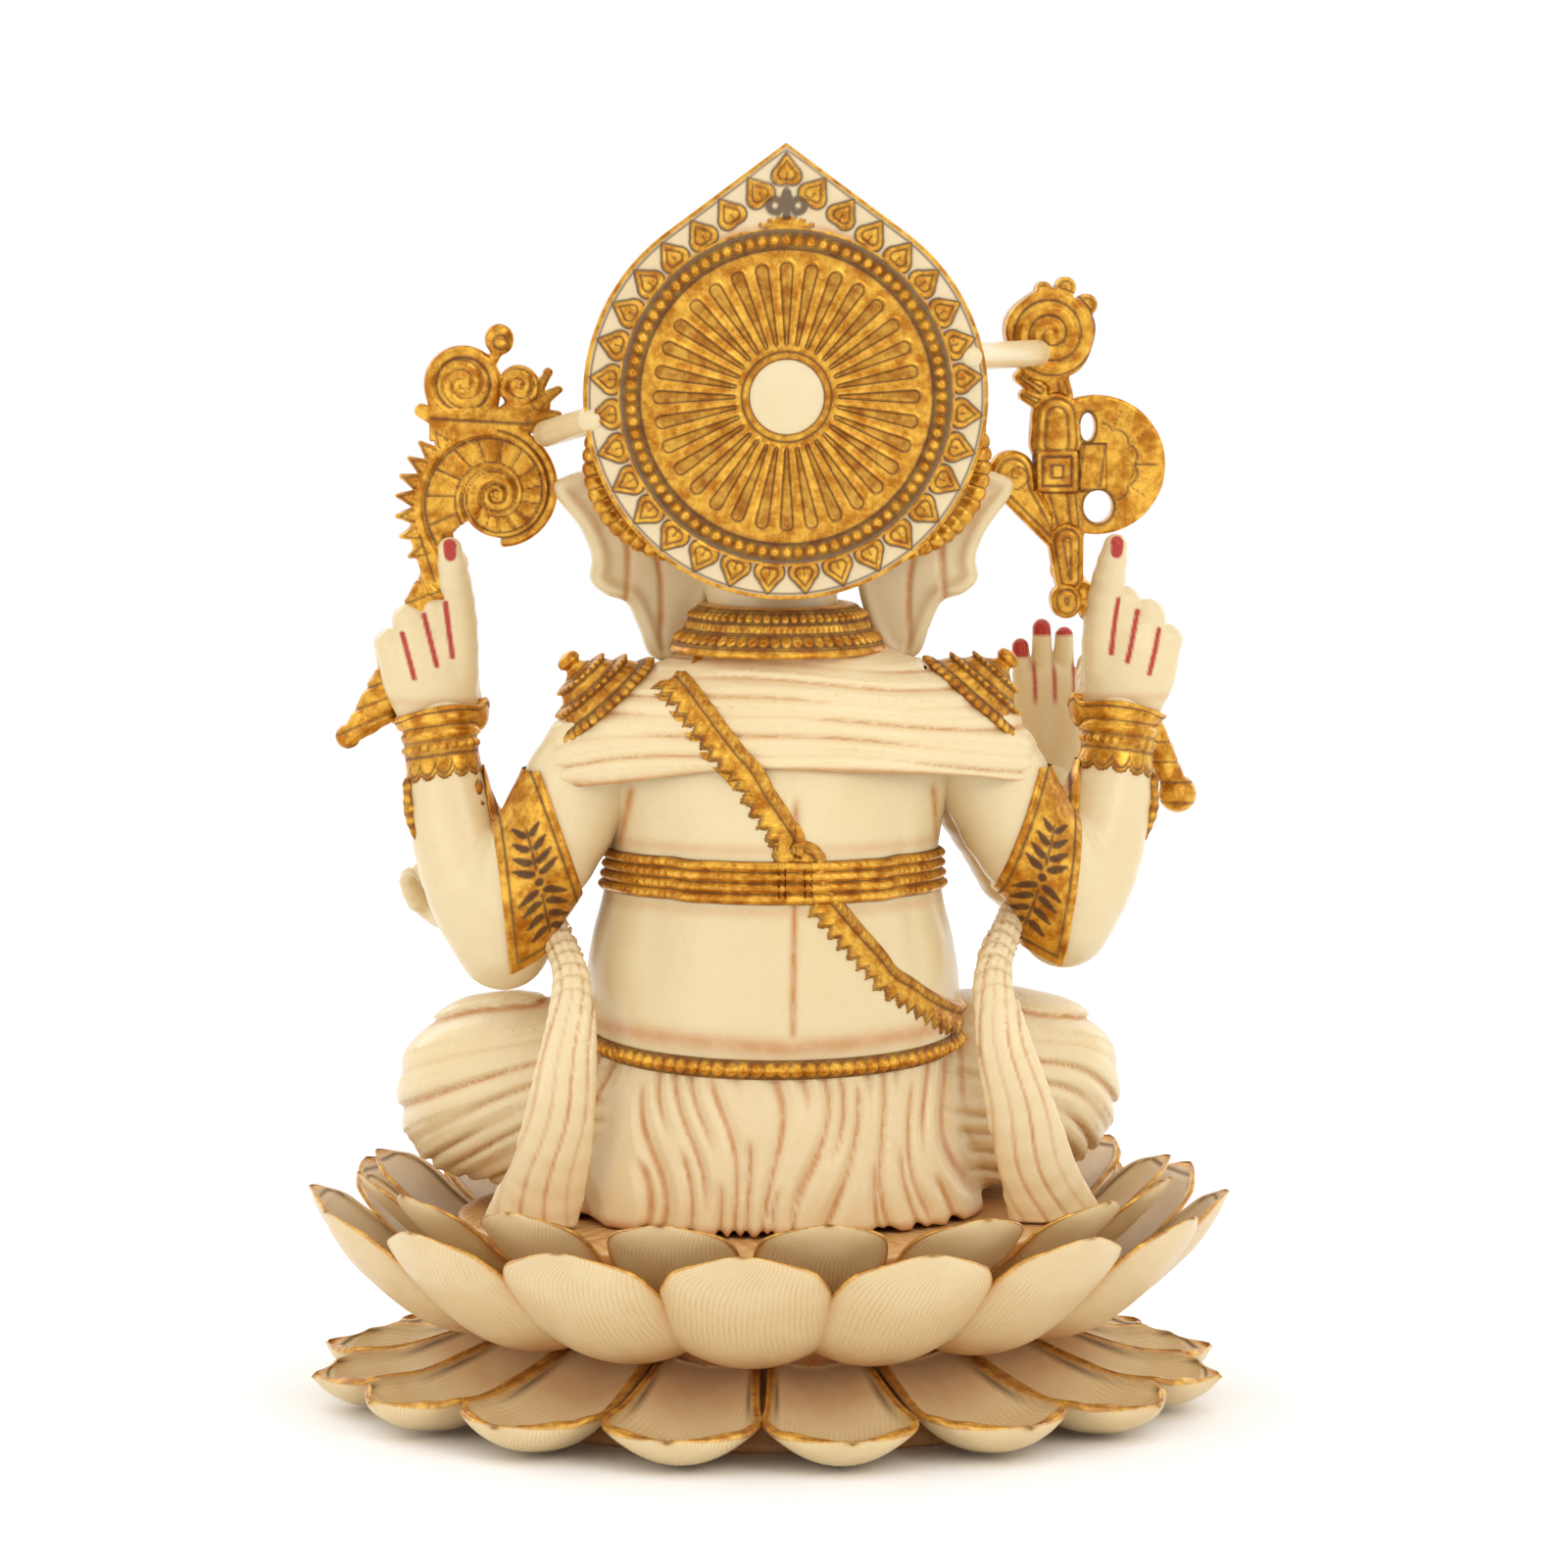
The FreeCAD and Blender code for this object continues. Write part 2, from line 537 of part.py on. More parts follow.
# --- head ---------------------------------------------------------------------------------------
def build_head(neck, collar, necklace, torso):
    """Elephant head with its trunk, tusks, ears, eyes and crown."""
    middle = dim("head_height")
    skull = ellipsoid(V(0, -2, middle + 4), 26, 27, 24)
    cheeks = ellipsoid(V(0, -12, middle - 10), 21, 19, 15)
    brow = ellipsoid(V(0, -17, middle + 10), 17, 12, 13)
    head = less(skull.fuse([cheeks, brow]), neck, collar)
    trunk = limb([(0, -22, middle - 2), (0, -31, middle - 12), (1, -39, middle - 26), (3, -47, middle - 42),
                  (8, -54, middle - 58), (18, -60, middle - 72), (32, -63, middle - 79),
                  (45, -62, middle - 77),
                  (53, -59, middle - 70)], [13, 13, 11.5, 10.2, 9.3, 8.2, 7.0, 5.6, 4.4])
    trunk = less(trunk, head, torso, necklace)
    free_form("trunk", trunk)
    tusks = []
    for side, reach in ((LEFT, 22), (RIGHT, 10)):
        start = V(side * 11.5, -27, middle - 17)
        way = V(side * 0.52, -0.78, -0.28).normalize()
        tip = 3.3 - 2.5 * reach / 22.0
        tusk = Part.makeCone(3.6, tip, reach, start, way)
        tusks.append(less(tusk, head, trunk))
    free_form("tusks", Part.makeCompound(tusks))
    eyes = []
    for side in (LEFT, RIGHT):
        eyes.append(Part.makeSphere(3.6, V(side * 14.6, -24.9, middle + 1.5)))
    head = less(head, *eyes)
    free_form("eyes", Part.makeCompound(eyes))
    crown = build_crown(head)
    ears = build_ears(head, crown, collar, neck)
    head = less(head, crown, *ears)
    free_form("head", head)
    return [head, crown, trunk] + ears


def build_crown(head):
    """Tiered crown: band round the brow, stepped cone and a round finial."""
    foot, top = dim("crown_height"), dim("crown_top")
    rise = (top - foot) / 52.0
    profile = [(0, -14), (26.5, -14), (28.5, -11), (28.5, -4), (26, -1), (24.5, 4), (22, 12), (23.5, 14),
               (20, 17),
               (18, 25), (19.2, 27), (15.5, 30), (13, 36), (13.8, 38), (9, 41), (5, 44), (6, 47),
               (3.5, 50.5), (0, 52)]
    crown = turned([(radius, height * rise) for radius, height in profile], V(0, -0.5, foot))
    crown.rotate(V(0, 0, foot), V(1, 0, 0), -4)
    crown = less(crown, head, block(-60, 60, dim("halo_back") - dim("halo_thickness") - 3.5, 90, 180, 310))
    free_form("crown", crown)
    return crown


def build_ears(head, crown, collar, neck):
    """Large ears: a wide fan above, drawn in to a rounded lobe above the shoulder."""
    ears = []
    for side, name in ((LEFT, "left"), (RIGHT, "right")):
        corners = [(22, -2, 226), (38, -4, 229), (47, -3, 221), (49, 0, 211), (46, 2, 198), (40, 3, 188),
                   (31, 2, 180), (24, 0, 182), (20, -2, 194)]
        outline = Part.BSplineCurve()
        outline.interpolate([V(x, 0, z) for x, _, z in corners], PeriodicFlag=True)
        face = Part.Face(Part.Wire(outline.toShape()))
        plate = face.extrude(V(0, 4.4, 0))
        plate.rotate(V(22, 0, 205), UP, 9)
        plate.translate(V(0, -4, 0))
        ear = less(leaned(mirrored(plate, side)), head, crown, collar, neck)
        brace = capsule((side * 47, 0, 215), (side * 56.5, -4, 221), 3.0, 2.2)
        ear = less(ear.fuse(leaned(brace)), head)
        ears.append(ear)
        free_form(name + "_ear", ear)
    bands = []
    for side in (LEFT, RIGHT):
        ring = Part.makeTorus(24, 2.6, V(side * 27, 8.5, 214), V(0.15 * side, 1, -0.1), 0, 360, 360)
        ring = ring.common(block(min(0, side * 70), max(0, side * 70), 4.6, 14, 180, 222))
        bands.append(less(leaned(ring), head, crown, collar, neck, *ears))
    free_form("ear_bands", Part.makeCompound([s for band in bands for s in band.Solids]))
    return ears


# --- halo ---------------------------------------------------------------------------------------
def halo_outline(radius, tip):
    """A circle drawn up into a point: an arc and two straight shoulders that touch it."""
    turn = math.asin(radius / tip)
    touch = V(radius * math.cos(turn), 0, radius * math.sin(turn))
    left = V(-touch.x, 0, touch.z)
    arc = Part.Arc(touch, V(0, 0, -radius), left).toShape()
    peak = V(0, 0, tip)
    return Part.Wire([arc, Part.LineSegment(left, peak).toShape(), Part.LineSegment(peak, touch).toShape()])


def build_halo(crown):
    """The pointed halo plate with its fluted disc, bead ring, boss, leaves and finial relief."""
    centre, back, thick = dim("halo_height"), dim("halo_back"), dim("halo_thickness")
    plate = Part.Face(halo_outline(dim("halo_radius"), dim("halo_tip"))).extrude(V(0, thick, 0))
    plate.translate(V(0, back - thick, centre))
    relief = dim("relief")

    def disc(radius, depth, start=0.0):
        return Part.makeCylinder(radius, depth, V(0, back + start, centre), V(0, 1, 0))

    pegs = []
    for side in (LEFT, RIGHT):
        place = V(side * dim("halo_dowel_spacing"), back - thick + 1.0 - 10, centre - 2)
        pegs.append(cylinder(f"halo_dowel_{side + 2}", "dims.halo_dowel_radius", "10", place, V(0, 1, 0)))
    combined("Part::Compound", "halo_dowels", pegs)
    holes = [Part.makeCylinder(dim("halo_dowel_radius") + 0.05, 10.2,
                               V(side * dim("halo_dowel_spacing"), back - thick - 9.1, centre - 2),
                               V(0, 1, 0))
             for side in (LEFT, RIGHT)]
    free_form("halo_plate", less(plate, *holes))

    fluted = disc(dim("disc_radius"), relief).cut(disc(dim("boss_ring_radius"), relief))
    flute = Part.makeCone(0.55, 1.7, 19, V(0, back + relief + 0.35, centre + 13), UP)
    flutes = []
    for i in range(int(dim("flute_count"))):
        groove = flute.copy()
        groove.rotate(V(0, 0, centre), V(0, 1, 0), (i + 0.5) * 360.0 / dim("flute_count"))
        flutes.append(groove)
    free_form("halo_fluted_disc", less(fluted, *flutes))

    middle, half = dim("bead_ring_radius"), dim("bead_ring_width")
    ring = disc(middle + half, relief).cut(disc(middle - half, relief))
    beads = []
    for i in range(int(dim("bead_count"))):
        turn = 2 * math.pi * i / dim("bead_count")
        place = V(middle * math.cos(turn), back + relief, centre + middle * math.sin(turn))
        beads.append(Part.makeSphere(dim("bead_radius"), place))
    free_form("halo_bead_ring", ring.fuse(beads))

    boss_ring = disc(dim("boss_ring_radius"), relief * 1.5).cut(disc(dim("boss_radius"), relief * 1.5))
    free_form("halo_boss_ring", boss_ring)
    edge = dim("boss_radius")
    boss = turned([(0, 0), (edge, 0), (edge, relief), (0.8 * edge, relief + 0.5),
                   (0.45 * edge, relief + 0.85),
                   (0, relief + 1)], V(0, back, centre), V(0, 1, 0))
    free_form("halo_boss", boss)
    build_leaves(back, centre)


def leaf(size, depth):
    """A heart-shaped leaf pad with its point up, in the halo's plane."""
    points = [(0, 1.15), (0.62, 0.45), (0.86, -0.25), (0.5, -0.88), (0, -0.72), (-0.5, -0.88), (-0.86, -0.25),
              (-0.62, 0.45)]
    curve = Part.BSplineCurve()
    curve.interpolate([V(x * size, 0, z * size) for x, z in points], PeriodicFlag=True)
    return Part.Face(Part.Wire(curve.toShape())).extrude(V(0, depth, 0))


def leaf_place(i, count):
    """Angle, radius and tilt of a leaf: on the circle below, along the straight shoulders above."""
    angle = 2 * math.pi * i / count
    wrapped = (angle + math.pi) % (2 * math.pi) - math.pi
    touch = math.acos(dim("halo_radius") / dim("halo_tip"))
    radius = dim("leaf_radius")
    if abs(wrapped) < touch:
        tilt = math.copysign(touch, wrapped) if wrapped else 0.0
        return wrapped, radius / math.cos(touch - abs(wrapped)), tilt
    return wrapped, radius, wrapped


def leaf_angles(count):
    """Leaf positions spaced evenly along the rim, from the tip round both sides."""
    fine = 3600
    points = []
    for k in range(fine + 1):
        angle, radius, _ = leaf_place(k, fine)
        points.append((radius * math.sin(angle), radius * math.cos(angle)))
    lengths = [0.0]
    for a, b in zip(points, points[1:]):
        lengths.append(lengths[-1] + math.hypot(b[0] - a[0], b[1] - a[1]))
    total, k, found = lengths[-1], 0, []
    for i in range(int(count)):
        while lengths[k] < total * i / count:
            k += 1
        found.append(leaf_place(k, fine))
    return found


def build_leaves(back, centre):
    """Leaf pads round the rim, and the three-pointed finial relief above the fluted disc."""
    pads = []
    for angle, radius, tilt in leaf_angles(dim("leaf_count")):
        pad = leaf(dim("leaf_size"), dim("relief"))
        pad.rotate(V(0, 0, 0), V(0, 1, 0), math.degrees(tilt))
        pad.translate(V(radius * math.sin(angle), back, centre + radius * math.cos(angle)))
        pads.append(pad)
    free_form("halo_leaf_pads", Part.makeCompound(pads))
    stem = block(-0.9, 0.9, back, back + 1, 5, 14)
    foot = block(-7, 7, back, back + 1, 0.2, 2.4)
    curls = [Part.makeTorus(1.9, 0.8, V(side * 2.6, back + 0.2, 6.2), V(0, 1, 0)) for side in (LEFT, RIGHT)]
    finial = foot.fuse([stem, block(-0.9, 0.9, back, back + 1, 2, 6)] + curls)
    finial.translate(V(0, 0, centre + dim("bead_ring_radius") + dim("bead_ring_width") - 0.1))
    clear = Part.makeCylinder(dim("bead_ring_radius") + dim("bead_ring_width"), 30, V(0, back - 10, centre),
                              V(0, 1, 0))
    finial = less(finial.common(block(-20, 20, back, back + 5, 0, 400)), clear, *pads[:1])
    free_form("halo_finial_relief", finial)


# --- emblems held in the hands ------------------------------------------------------------------
def plate(outline, y_front, depth):
    """A flat sculpted plate cut to a smooth closed outline of (x, z) points."""
    curve = Part.BSplineCurve()
    curve.interpolate([V(x, y_front, z) for x, z in outline], PeriodicFlag=True)
    return Part.Face(Part.Wire(curve.toShape())).extrude(V(0, depth, 0))


def build_emblems(arms, ears):
    """The noose in the rear left hand, the axe in the rear right hand, and the halo struts."""
    coil = Part.makeCylinder(17, 7, V(69, -8, 219), V(0, 1, 0))
    crest = plate([(60, 233), (66, 240), (66, 250), (73, 257), (82, 256), (87, 249), (86, 241), (84, 234),
                   (76, 229)], -7.4, 6.1)
    plume = plate([(52, 233), (58, 236), (66, 238), (68, 246), (64, 252), (57, 250), (50, 247), (50, 240)],
                  -6.9, 4.8)
    comb = plate([(86, 238), (90, 232), (94, 222), (94, 212), (91, 203), (86, 196), (80, 200), (84, 210),
                  (86, 222),
                  (82, 232)], -6.4, 4.7)
    neck = limb([(80, -4.5, 212), (83, -5, 200), (80, -9, 191), (86, -11, 178), (94, -13, 168),
                 (101, -15, 162)],
                [6, 5, 4, 3.2, 3.6, 4.6], 0.7)
    bud = Part.makeSphere(3.6, V(68, -4, 259))
    stem = capsule((68, -4, 250), (68, -4, 257), 2.2)
    hands = [arms["rear_left_hand"], arms["rear_left_arm"], arms["rear_left_bracelet"]]
    noose = merged([coil, crest, plume, comb, neck, stem, bud])
    noose = less(leaned(noose), *hands, *ears)
    free_form("noose", noose)

    shaft = limb([(-66, -4.5, 250), (-66, -4.5, 236), (-68, -4.5, 218), (-72, -6, 200), (-80, -13, 178),
                  (-90, -16.5, 160), (-97, -16, 147)], [6, 6, 5.5, 4.5, 3.2, 2.8, 2.8])
    knob = Part.makeCylinder(11, 8, V(-67.5, -8.5, 258), V(0, 1, 0))
    bumps = [Part.makeSphere(3.2, V(x, -4.5, z)) for x, z in ((-61, 266), (-68, 270), (-75, 267), (-79, 260))]
    blade = Part.makeCylinder(17, 5, V(-77.5, -7, 228), V(0, 1, 0)).cut(
        Part.makeCylinder(7.5, 9, V(-73, -9, 228), V(0, 1, 0)))
    bridge = block(-82, -66, -7.5, -1.5, 224, 232)
    hook = plate([(-52, 231), (-50, 225), (-54, 216), (-62, 207), (-70, 203), (-70, 212), (-63, 221),
                  (-60, 229)], -7, 5)
    ball = Part.makeSphere(3.6, V(-98, -16, 144.5))
    hands = [arms["rear_right_hand"], arms["rear_right_arm"], arms["rear_right_bracelet"]]
    axe = merged([shaft, knob, bridge, hook, ball, blade] + bumps)
    axe = less(leaned(axe), *hands, *ears)
    free_form("axe", axe)

    halo = Part.Face(halo_outline(dim("halo_radius"), dim("halo_tip"))).extrude(V(0, dim("halo_thickness"),
                                                                                  0))
    halo.translate(V(0, dim("halo_back") - dim("halo_thickness"), dim("halo_height")))
    struts = {"left_halo_strut": ((44.5, 39, 238), (53, 0, 233.5), noose),
              "right_halo_strut": ((-44.5, 39, 252.5), (-65, 0, 252.5), axe)}
    for name, (start, end, emblem) in struts.items():
        start, end = V(*start), V(*end)
        bar = Part.makeCylinder(3.3, (end - start).Length, start, end - start)
        free_form(name, less(bar, halo, emblem, *ears))
    return noose, axe


def build_sweets(hand, trunk):
    """The gold bowl on the front left palm and the heap of sweets in it."""
    wide, tall = dim("bowl_radius"), dim("bowl_height")
    centre = V(67 + dim("lean"), -58, 117.5)
    cup = Part.makeCone(0.55 * wide, wide, tall, centre)
    hollow = Part.makeCone(0.4 * wide, wide - 1.6, tall - 1.5, centre + V(0, 0, 1.5))
    lip = Part.makeTorus(wide, 1.0, centre + V(0, 0, tall))
    bowl = cup.fuse(lip).cut(hollow)
    bowl = less(bowl, hand, trunk)
    free_form("sweets_bowl", bowl)
    size = dim("sweet_radius")
    layers = [(6, wide - 6.4, tall - 0.8), (1, 0.0, tall + 5.6)]
    heap = []
    for count, ring, height in layers:
        for i in range(count):
            turn = 2 * math.pi * i / count
            place = centre + V(ring * math.cos(turn), ring * math.sin(turn), height)
            body = Part.makeSphere(size * (1.0 if count == 1 else 0.7), place)
            point = Part.makeCone(size * 0.55, 0.5, size * 0.9, place + V(0, 0, size * 0.62))
            heap.append(body.fuse(point))
    filling = Part.makeCone(0.4 * wide - 0.1, wide - 2.2, tall - 2.2, centre + V(0, 0, 1.6))
    solids = filling.fuse(heap)
    free_form("sweets", less(solids, bowl, trunk))


# --- assembly -----------------------------------------------------------------------------------
def main():
    build_lotus()
    dowels = build_dowels()
    hips, torso, belt, sash, lower_limbs = build_trunk_of_body()
    collar, neck, necklace = build_neckwear(torso)
    arms = build_arms(torso, belt, sash)
    build_shawl(torso, arms, collar, neck, sash, hips, lower_limbs)
    crown_and_head = build_head(neck, collar, necklace, torso)
    head, crown, trunk, ears = *crown_and_head[:3], crown_and_head[3:]
    build_halo(crown)
    build_emblems(arms, ears)
    build_sweets(arms["front_left_hand"], trunk)
    doc.recompute()
    write_parts(dowels)


def write_parts(dowels):
    """Checks every object, then writes one STEP file for each finished piece."""
    os.makedirs("parts", exist_ok=True)
    for old in os.listdir("parts"):
        os.remove(os.path.join("parts", old))
    helpers = {"lotus_core_blank", "collar_blank"}
    finished = [o for o in doc.Objects if o.isDerivedFrom("Part::Feature") and o.Label not in helpers
                and (o.TypeId in ("Part::Feature", "PartDesign::Body") or o is dowels
                     or o.Label == "halo_dowels")]
    for item in doc.Objects:
        if "Invalid" in item.State or "Error" in item.State:
            raise RuntimeError(f"{item.Label} did not build: {item.State}")
    for item in finished:
        shape = item.Shape
        if shape.isNull() or not shape.isValid() or not shape.Solids:
            raise RuntimeError(f"{item.Label} has no valid solid")
        shape.exportStep(os.path.join("parts", item.Label + ".step"))
        print(f"{item.Label:24s} {len(shape.Solids):3d} solids {shape.Volume:10.0f} mm3")


main()
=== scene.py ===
"""Looks of the seated Ganesha idol: sculpted cast-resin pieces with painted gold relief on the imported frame.

Lengths in the sculpting code are millimetres, X to the figure's left, -Y ahead, Z up; meshes are in metres.
"""
import math
from functools import partial, reduce

import bpy
import numpy as np
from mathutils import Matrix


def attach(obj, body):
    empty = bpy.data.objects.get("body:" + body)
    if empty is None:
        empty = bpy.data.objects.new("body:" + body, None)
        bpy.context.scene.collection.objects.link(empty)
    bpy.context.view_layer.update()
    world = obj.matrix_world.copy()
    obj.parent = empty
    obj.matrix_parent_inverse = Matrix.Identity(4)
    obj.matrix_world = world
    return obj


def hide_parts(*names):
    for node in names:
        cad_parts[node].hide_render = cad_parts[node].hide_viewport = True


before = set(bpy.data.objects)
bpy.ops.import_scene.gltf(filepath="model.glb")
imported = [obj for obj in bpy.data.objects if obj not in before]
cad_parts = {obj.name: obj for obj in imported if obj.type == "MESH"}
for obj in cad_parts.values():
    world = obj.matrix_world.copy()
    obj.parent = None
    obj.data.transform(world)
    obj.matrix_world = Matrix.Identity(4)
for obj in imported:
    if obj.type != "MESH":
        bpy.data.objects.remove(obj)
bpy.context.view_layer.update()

MM = 0.001
LEFT, RIGHT = 1, -1
SIDES = ((LEFT, "left"), (RIGHT, "right"))
SCENE = bpy.context.scene
rng = np.random.default_rng(7)


# --- camera, light and floor --------------------------------------------------------------------
def aim(obj, target):
    """Turns a camera or light so that it looks at target."""
    way = np.array(target) - np.array(obj.location)
    flat = math.hypot(way[0], way[1])
    obj.rotation_euler = (math.atan2(flat, -way[2]), 0, math.atan2(-way[0], way[1]))


def make_camera():
    """A long lens behind the figure, a little to its right and slightly above."""
    data = bpy.data.cameras.new("camera")
    camera = bpy.data.objects.new("camera", data)
    SCENE.collection.objects.link(camera)
    azimuth, elevation, away = math.radians(175), math.radians(5), 1.6
    sensor, seen_width = 36, 0.3776
    target = np.array([-0.004, 0.0, 0.149])
    flat = math.cos(elevation)
    way = np.array([math.sin(azimuth) * flat, -math.cos(azimuth) * flat, math.sin(elevation)])
    camera.location = target + away * way
    aim(camera, target)
    data.sensor_width = sensor
    data.lens = sensor * away / seen_width
    data.clip_end = 20
    SCENE.camera = camera


def area_light(name, place, target, size, power, colour=(1, 1, 1)):
    data = bpy.data.lights.new(name, "AREA")
    data.shape = "DISK"
    data.size = size
    data.energy = power
    data.color = colour
    light = bpy.data.objects.new(name, data)
    SCENE.collection.objects.link(light)
    light.location = place
    aim(light, target)


def make_studio():
    """Soft area lights, a white surround and a white paper floor."""
    middle = (0, 0, 0.15)
    area_light("key", (-0.75, 1.35, 1.05), middle, 0.9, 4.2, (1.0, 0.985, 0.95))
    area_light("fill", (1.15, 1.0, 0.55), middle, 0.9, 1.6, (1.0, 0.99, 0.97))
    area_light("front_left", (0.9, -1.2, 1.0), middle, 1.0, 4)
    area_light("front_right", (-1.0, -1.0, 0.6), middle, 1.0, 2)
    area_light("top", (0, 0.1, 1.5), middle, 1.2, 2)
    world = bpy.data.worlds.new("studio")
    world.use_nodes = True
    backdrop = world.node_tree.nodes["Background"]
    backdrop.inputs["Color"].default_value = (1, 1, 1, 1)
    backdrop.inputs["Strength"].default_value = 1.0
    SCENE.world = world
    SCENE.view_settings.view_transform = "Standard"
    size = 40.0
    mesh = bpy.data.meshes.new("floor")
    corners = [(-size, -size, 0), (size, -size, 0), (size, size, 0), (-size, size, 0)]
    mesh.from_pydata(corners, [], [(0, 1, 2, 3)])
    floor = bpy.data.objects.new("floor", mesh)
    SCENE.collection.objects.link(floor)
    paper = bpy.data.materials.new("paper")
    paper.use_nodes = True
    shader = paper.node_tree.nodes["Principled BSDF"]
    shader.inputs["Base Color"].default_value = (1.0, 1.0, 1.0, 1)
    shader.inputs["Roughness"].default_value = 0.8
    mesh.materials.append(paper)


# --- small maths --------------------------------------------------------------------------------
def vec(*xyz):
    return np.array(xyz, dtype=np.float64)


def unit(v):
    return v / np.maximum(np.linalg.norm(v, axis=-1, keepdims=True), 1e-9)


def ramp(x, low, high):
    """Smooth step from 0 at low to 1 at high."""
    t = np.clip((x - low) / (high - low), 0, 1)
    return t * t * (3 - 2 * t)


def bump_at(x, width):
    """A soft bump of height 1 where x is 0."""
    return np.exp(-(x / width) ** 2)


def zigzag(x):
    """A triangle wave: 1 at whole numbers and 0 half-way between them."""
    return np.abs(x % 1 - 0.5) * 2


def swirl(u, w, pitch, arms=1):
    """A triangle wave that winds outwards as a spiral."""
    return zigzag(np.hypot(u, w) / pitch + np.arctan2(w, u) / (2 * math.pi) * arms)


def from_nearest(angle, count):
    """The angle from the nearest of count evenly spaced directions."""
    step = 2 * math.pi / count
    return (angle + step / 2) % step - step / 2


def strongest(*layers):
    """The highest of several layers at each point."""
    return reduce(np.maximum, layers)


def walked(line):
    """The distance walked along a line at each of its points."""
    return np.concatenate([[0], np.cumsum(np.linalg.norm(np.diff(line, axis=0), axis=1))])


def smin(a, b, k):
    """The union of two distance fields, blended over a width k."""
    h = np.clip(0.5 + 0.5 * (b - a) / k, 0, 1)
    return b + (a - b) * h - k * h * (1 - h)


def smax(a, b, k):
    """What two distance fields share, blended over a width k."""
    return -smin(-a, -b, k)


def spline(points, count):
    """Catmull-Rom samples through a list of points."""
    pts = np.asarray(points, float)
    pts = np.vstack([2 * pts[0] - pts[1], pts, 2 * pts[-1] - pts[-2]])
    t = np.linspace(0, len(pts) - 3 - 1e-9, count)
    i = np.minimum(t.astype(int), len(pts) - 4)
    f = (t - i)[:, None]
    a, b, c, d = pts[i], pts[i + 1], pts[i + 2], pts[i + 3]
    bend, twist = 2 * a - 5 * b + 4 * c - d, 3 * b - 3 * c + d - a
    return 0.5 * (2 * b + (c - a) * f + bend * f ** 2 + twist * f ** 3)


def waves(p, scale, seed=0):
    """Smooth seeded noise in about -1..1 from a few turned sine waves."""
    draw = np.random.default_rng(seed)
    total = np.zeros(len(p))
    for _ in range(6):
        way = unit(draw.normal(size=3)) * draw.uniform(0.6, 1.5) * 2 * math.pi / scale
        total += np.sin(p @ way + draw.uniform(0, 6.28))
    return total / 3.0


# --- distance fields ----------------------------------------------------------------------------
def ellipsoid(p, centre, radii):
    q = p - vec(*centre)
    r = vec(*radii)
    k0 = np.linalg.norm(q / r, axis=1)
    k1 = np.linalg.norm(q / (r * r), axis=1)
    return k0 * (k0 - 1) / np.maximum(k1, 1e-9)


def bar(p, a, b, ra, rb=None, squash=None):
    """A round-ended bar; squash = (direction, factor) flattens it."""
    a, b = vec(*a), vec(*b)
    rb = ra if rb is None else rb
    q, ab = p - a, b - a
    t = np.clip(q @ ab / (ab @ ab), 0, 1)
    gap = q - t[:, None] * ab
    if squash is not None:
        way = unit(vec(*squash[0]))
        along = gap @ way
        gap = gap + np.outer(along * (1 / squash[1] - 1), way)
    return np.linalg.norm(gap, axis=1) - (ra + (rb - ra) * t)


def limb(p, points, radii, squash=None, count=None):
    """Bars joined smoothly along a bent line; points are resampled on a smooth curve."""
    table = spline(np.column_stack([points, radii]), count or 3 * len(points))
    out = None
    for a, b in zip(table[:-1], table[1:]):
        d = bar(p, a[:3], b[:3], a[3], b[3], squash)
        out = d if out is None else smin(out, d, 0.6)
    return out


def oval_column(p, table):
    """A column of ellipses: rows of (height, half width, half depth, centre y)."""
    columns = spline(table, 60)
    half, deep, mid = (np.interp(p[:, 2], columns[:, 0], columns[:, k]) for k in (1, 2, 3))
    x, y = p[:, 0], p[:, 1] - mid
    k0 = np.hypot(x / half, y / deep)
    k1 = np.hypot(x / half ** 2, y / deep ** 2)
    side = k0 * (k0 - 1) / np.maximum(k1, 1e-6)
    return smax(side, np.maximum(table[0][0] - p[:, 2], p[:, 2] - table[-1][0]), 2.0)


# --- meshing ------------------------------------------------------------------------------------
CORNERS = np.array([(i, j, k) for i in (0, 1) for j in (0, 1) for k in (0, 1)])
EDGES = [(a, b) for a in range(8) for b in range(a + 1, 8) if np.abs(CORNERS[a] - CORNERS[b]).sum() == 1]
BLOCK = 8


